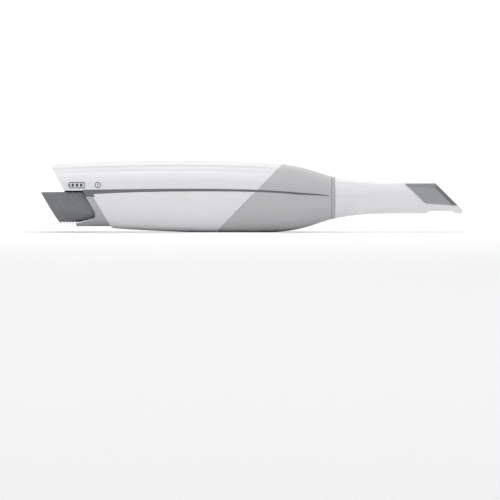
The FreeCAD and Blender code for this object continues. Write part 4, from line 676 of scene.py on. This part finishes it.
# %% [markdown]
# ## The printed signs
# Low on the rear of the handle, two small signs are pad printed in dark grey ink: a battery, for
# the end where it plugs in, and the ring and bar of an on-off switch, because pushing the battery
# in is what wakes the camera. They are plain generic signs. A print is a skin of ink a few
# hundredths of a millimetre thick, so each sign is put together from finely divided flat patches
# and a disc with its middle taken out, floated beside the handle, and pressed onto its side by a
# Shrinkwrap modifier. A Solidify modifier gives it the ink's thickness. Both sides of the handle
# are printed.

# %% Ink
ink, tree, place = bare_finish("pad_printed_ink")
mottle = add(tree, "ShaderNodeTexNoise", {"Vector": place, "Scale": per_mm(0.8), "Detail": 3.0})
pigment = add(tree, "ShaderNodeMix", {
    0: mottle.outputs["Fac"], 6: linear("38434c"), 7: linear("455059")}, data_type="RGBA")
gloss = add(tree, "ShaderNodeMapRange", {
    "Value": mottle.outputs["Fac"], "To Min": 0.35, "To Max": 0.55})
shader = add(tree, "ShaderNodeBsdfPrincipled", {
    "Base Color": pigment.outputs[2], "Roughness": gloss.outputs["Result"], "IOR": 1.5})
add(tree, "ShaderNodeOutputMaterial", {"Surface": shader.outputs["BSDF"]})

# %% Places of the signs
SIGN_HEIGHT = 4.0 * MM
LINE = 0.5 * MM
SIGN_RISE = 3.2 * MM      # signs' middle above the top shell's lowest point
FROM_REAR = 18.0 * MM     # battery sign's middle ahead of the top shell's rear point
SIGN_PITCH = 13.5 * MM
OUTSIDE = 30 * MM         # where the flat signs float, beside the handle
top_shell_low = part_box("top_shell")[0]
sign_z = top_shell_low.z + SIGN_RISE
battery_x = top_shell_low.x + FROM_REAR
power_x = battery_x + SIGN_PITCH
print("signs at height", round(sign_z / MM, 1), "mm")


# %% Helpers for the signs
INK_SKIN = 0.04 * MM
PATCH_CUTS = 8


def press_on(piece, side):
    """Presses a flat sign onto the top shell and gives the ink its thickness."""
    bpy.ops.object.mode_set(mode="OBJECT")
    wrap = piece.modifiers.new("press", "SHRINKWRAP")
    wrap.target = nodes["top_shell"]
    wrap.wrap_method = "PROJECT"
    wrap.use_project_y = True
    wrap.use_negative_direction = side > 0
    wrap.use_positive_direction = side < 0
    wrap.offset = INK_SKIN / 2
    bpy.ops.object.modifier_apply(modifier=wrap.name)
    skin = piece.modifiers.new("ink_skin", "SOLIDIFY")
    skin.thickness = INK_SKIN
    skin.offset = 0
    bpy.ops.object.modifier_apply(modifier=skin.name)
    bpy.ops.object.mode_set(mode="EDIT")


def flat_patch(x, z, length, height, side):
    """A flat upright rectangle beside the handle, finely divided."""
    deselect_all()
    bpy.ops.mesh.primitive_grid_add(x_subdivisions=PATCH_CUTS, y_subdivisions=PATCH_CUTS, size=1,
                                    location=(x, side * OUTSIDE, z),
                                    rotation=(math.pi / 2, 0, 0))
    bpy.ops.transform.resize(value=(length, 1, height))
    bpy.ops.object.transform_apply(location=True, rotation=True, scale=True)
    return bpy.context.object


def join_as(name, patches):
    deselect_all()
    for patch in patches:
        patch.select_set(True)
    bpy.context.view_layer.objects.active = patches[0]
    bpy.ops.object.join()
    return start_piece(name)


print("sign helpers ready")

# %% Battery sign
CELL = 10.0 * MM
BAR_PITCH = 2.7 * MM
BAR_WIDTH = 1.6 * MM
HAIR = 20 * FINE    # keeps the outline's four strips from sharing an edge
for side, name in ((-1, "battery_sign_right"), (1, "battery_sign_left")):
    patches = []
    for z in (sign_z - SIGN_HEIGHT / 2 + LINE / 2, sign_z + SIGN_HEIGHT / 2 - LINE / 2):
        patches.append(flat_patch(battery_x, z, CELL, LINE, side))
    for x in (battery_x - CELL / 2 + LINE / 2, battery_x + CELL / 2 - LINE / 2):
        patches.append(flat_patch(x, sign_z, LINE, SIGN_HEIGHT - 2 * LINE - HAIR, side))
    terminal_x = battery_x - CELL / 2 - LINE * 0.8
    patches.append(flat_patch(terminal_x, sign_z, LINE, SIGN_HEIGHT / 2.5, side))
    for bar in (-1, 0, 1):
        x = battery_x + bar * BAR_PITCH
        patches.append(flat_patch(x, sign_z, BAR_WIDTH, SIGN_HEIGHT - 4 * LINE, side))
    sign = join_as(name, patches)
    press_on(sign, side)
    end_piece(sign, ink, "handle")

# %% Power sign
POWER_REACH = 2.0 * MM
for side, name in ((-1, "power_sign_right"), (1, "power_sign_left")):
    bar = flat_patch(power_x, sign_z, LINE, POWER_REACH, side)
    deselect_all()
    bpy.ops.mesh.primitive_circle_add(vertices=48, radius=POWER_REACH, fill_type="NGON",
                                      location=(power_x, side * OUTSIDE, sign_z),
                                      rotation=(math.pi / 2, 0, 0))
    bpy.ops.object.transform_apply(location=True, rotation=True, scale=True)
    ring = start_piece("ring")
    bpy.ops.mesh.select_all(action="SELECT")
    bpy.ops.mesh.inset(thickness=LINE)
    bpy.ops.mesh.delete(type="FACE")
    bpy.ops.object.mode_set(mode="OBJECT")
    sign = join_as(name, [ring, bar])
    press_on(sign, side)
    end_piece(sign, ink, "handle")

# %% [markdown]
# ## Studio
# The camera stands level with the handle, far off with a long lens, so that the side is seen
# almost without perspective. Five softboxes light it. A long one overhead and a narrow strip in
# front of it draw the highlights along the crown and the side, and a broad one in front fills the
# side. The last two light the paper, one behind the object and one before it, and the paper
# throws that light back up under the belly. The air is a dim grey, so that the horizon the side
# faces stays darker than the light above and the paper below.

# %% Camera
LENS, SENSOR = 200, 36
VIEW_WIDTH = 0.3265
OBJECT_RISE = 0.108
VIEW_TO_REAR = 1.3 * MM
middle = (cad_low + cad_high) / 2

camera_data = bpy.data.cameras.new("studio_camera")
camera_data.lens = LENS
camera_data.sensor_width = SENSOR
camera_data.shift_y = -OBJECT_RISE
camera = bpy.data.objects.new("studio_camera", camera_data)
bpy.context.scene.collection.objects.link(camera)
distance = VIEW_WIDTH * LENS / SENSOR
camera.location = (middle.x - VIEW_TO_REAR, middle.y - distance, middle.z)
camera.rotation_euler = (math.radians(90), 0, 0)
bpy.context.scene.camera = camera
print("camera", round(distance, 3), "m away")


# %% Lights
def softbox(name, place, aim, size, power):
    data = bpy.data.lights.new(name, "AREA")
    data.shape = "RECTANGLE"
    data.size, data.size_y = size
    data.energy = power
    lamp = bpy.data.objects.new(name, data)
    bpy.context.scene.collection.objects.link(lamp)
    lamp.location = place
    lamp.rotation_euler = (Vector(aim) - Vector(place)).to_track_quat("-Z", "Y").to_euler()


# each is a name, a place, a point to aim at, a length and width, all in metres, and watts
softbox("overhead_softbox", (0, -0.12, 0.9), (0, 0, 0), (1.6, 0.12), 2.6)
softbox("strip_softbox", (0.1, -0.5, 0.75), (0, 0, 0.02), (1.4, 0.05), 1.0)
softbox("front_softbox", (-0.3, -0.85, 1.15), (0, 0, 0.02), (1.2, 0.5), 3.9)
softbox("backdrop_softbox", (0, 0.8, 1.3), (0, 1.5, 0.2), (2.4, 0.4), 16.0)
softbox("foreground_softbox", (0, -1.6, 0.9), (0, -1.5, 0), (2.2, 0.7), 8.0)

AIR = 0.3
world = bpy.data.worlds.new("studio_air")
bpy.context.scene.world = world
world.use_nodes = True
background = world.node_tree.nodes["Background"]
background.inputs["Color"].default_value = linear("ffffff")
background.inputs["Strength"].default_value = AIR
bpy.context.scene.view_settings.view_transform = "Standard"
print("lights ready")

# %% [markdown]
# ## Paper
# The object lies on a sheet of pale paper that runs off level behind it and rises into a wall.
# The sheet is one plane with its far edge extruded upwards and the fold bevelled into a wide
# curve. It can only be seen from its white face. From behind or below it vanishes, so it never
# hides the object.

# %% Paper sweep
FLOOR, FLOOR_Y = 5, -0.9
WALL_Y = FLOOR_Y + FLOOR / 2
WALL_HEIGHT = 3.0
FOLD = 0.8

deselect_all()
bpy.ops.mesh.primitive_plane_add(size=FLOOR, location=(0, FLOOR_Y, 0))
bpy.ops.object.transform_apply(location=True, rotation=True, scale=True)
sweep = start_piece("paper_sweep")
pick(sweep, "EDGE", lambda p: p.y > WALL_Y - EDGE)
bpy.ops.mesh.extrude_region_move(TRANSFORM_OT_translate={"value": (0, 0, WALL_HEIGHT)})
pick(sweep, "EDGE", lambda p: p.y > WALL_Y - EDGE and p.z < EDGE)
bpy.ops.mesh.bevel(offset=FOLD, segments=24, profile=0.5, affect="EDGES")
bpy.ops.object.mode_set(mode="OBJECT")
bpy.ops.object.shade_smooth()

paper = bpy.data.materials.new("white_paper")
paper.use_nodes = True
tree = paper.node_tree
tree.nodes.clear()
fibre = add(tree, "ShaderNodeBsdfDiffuse", {"Color": linear("fbfbfb")})
clear = add(tree, "ShaderNodeBsdfTransparent", {})
face = add(tree, "ShaderNodeNewGeometry", {})
seen = add(tree, "ShaderNodeMixShader", {
    0: face.outputs["Backfacing"], 1: fibre.outputs["BSDF"], 2: clear.outputs["BSDF"]})
add(tree, "ShaderNodeOutputMaterial", {"Surface": seen.outputs["Shader"]})
sweep.data.materials.append(paper)
print("paper laid")

# %% [markdown]
# ## Measure and finish
# The finished piece keeps the engineering model's size. The engineering model's box is printed.

# %% Print the engineering model's box
print("cad box", [round(v / MM, 2) for v in (*cad_low, *cad_high)])
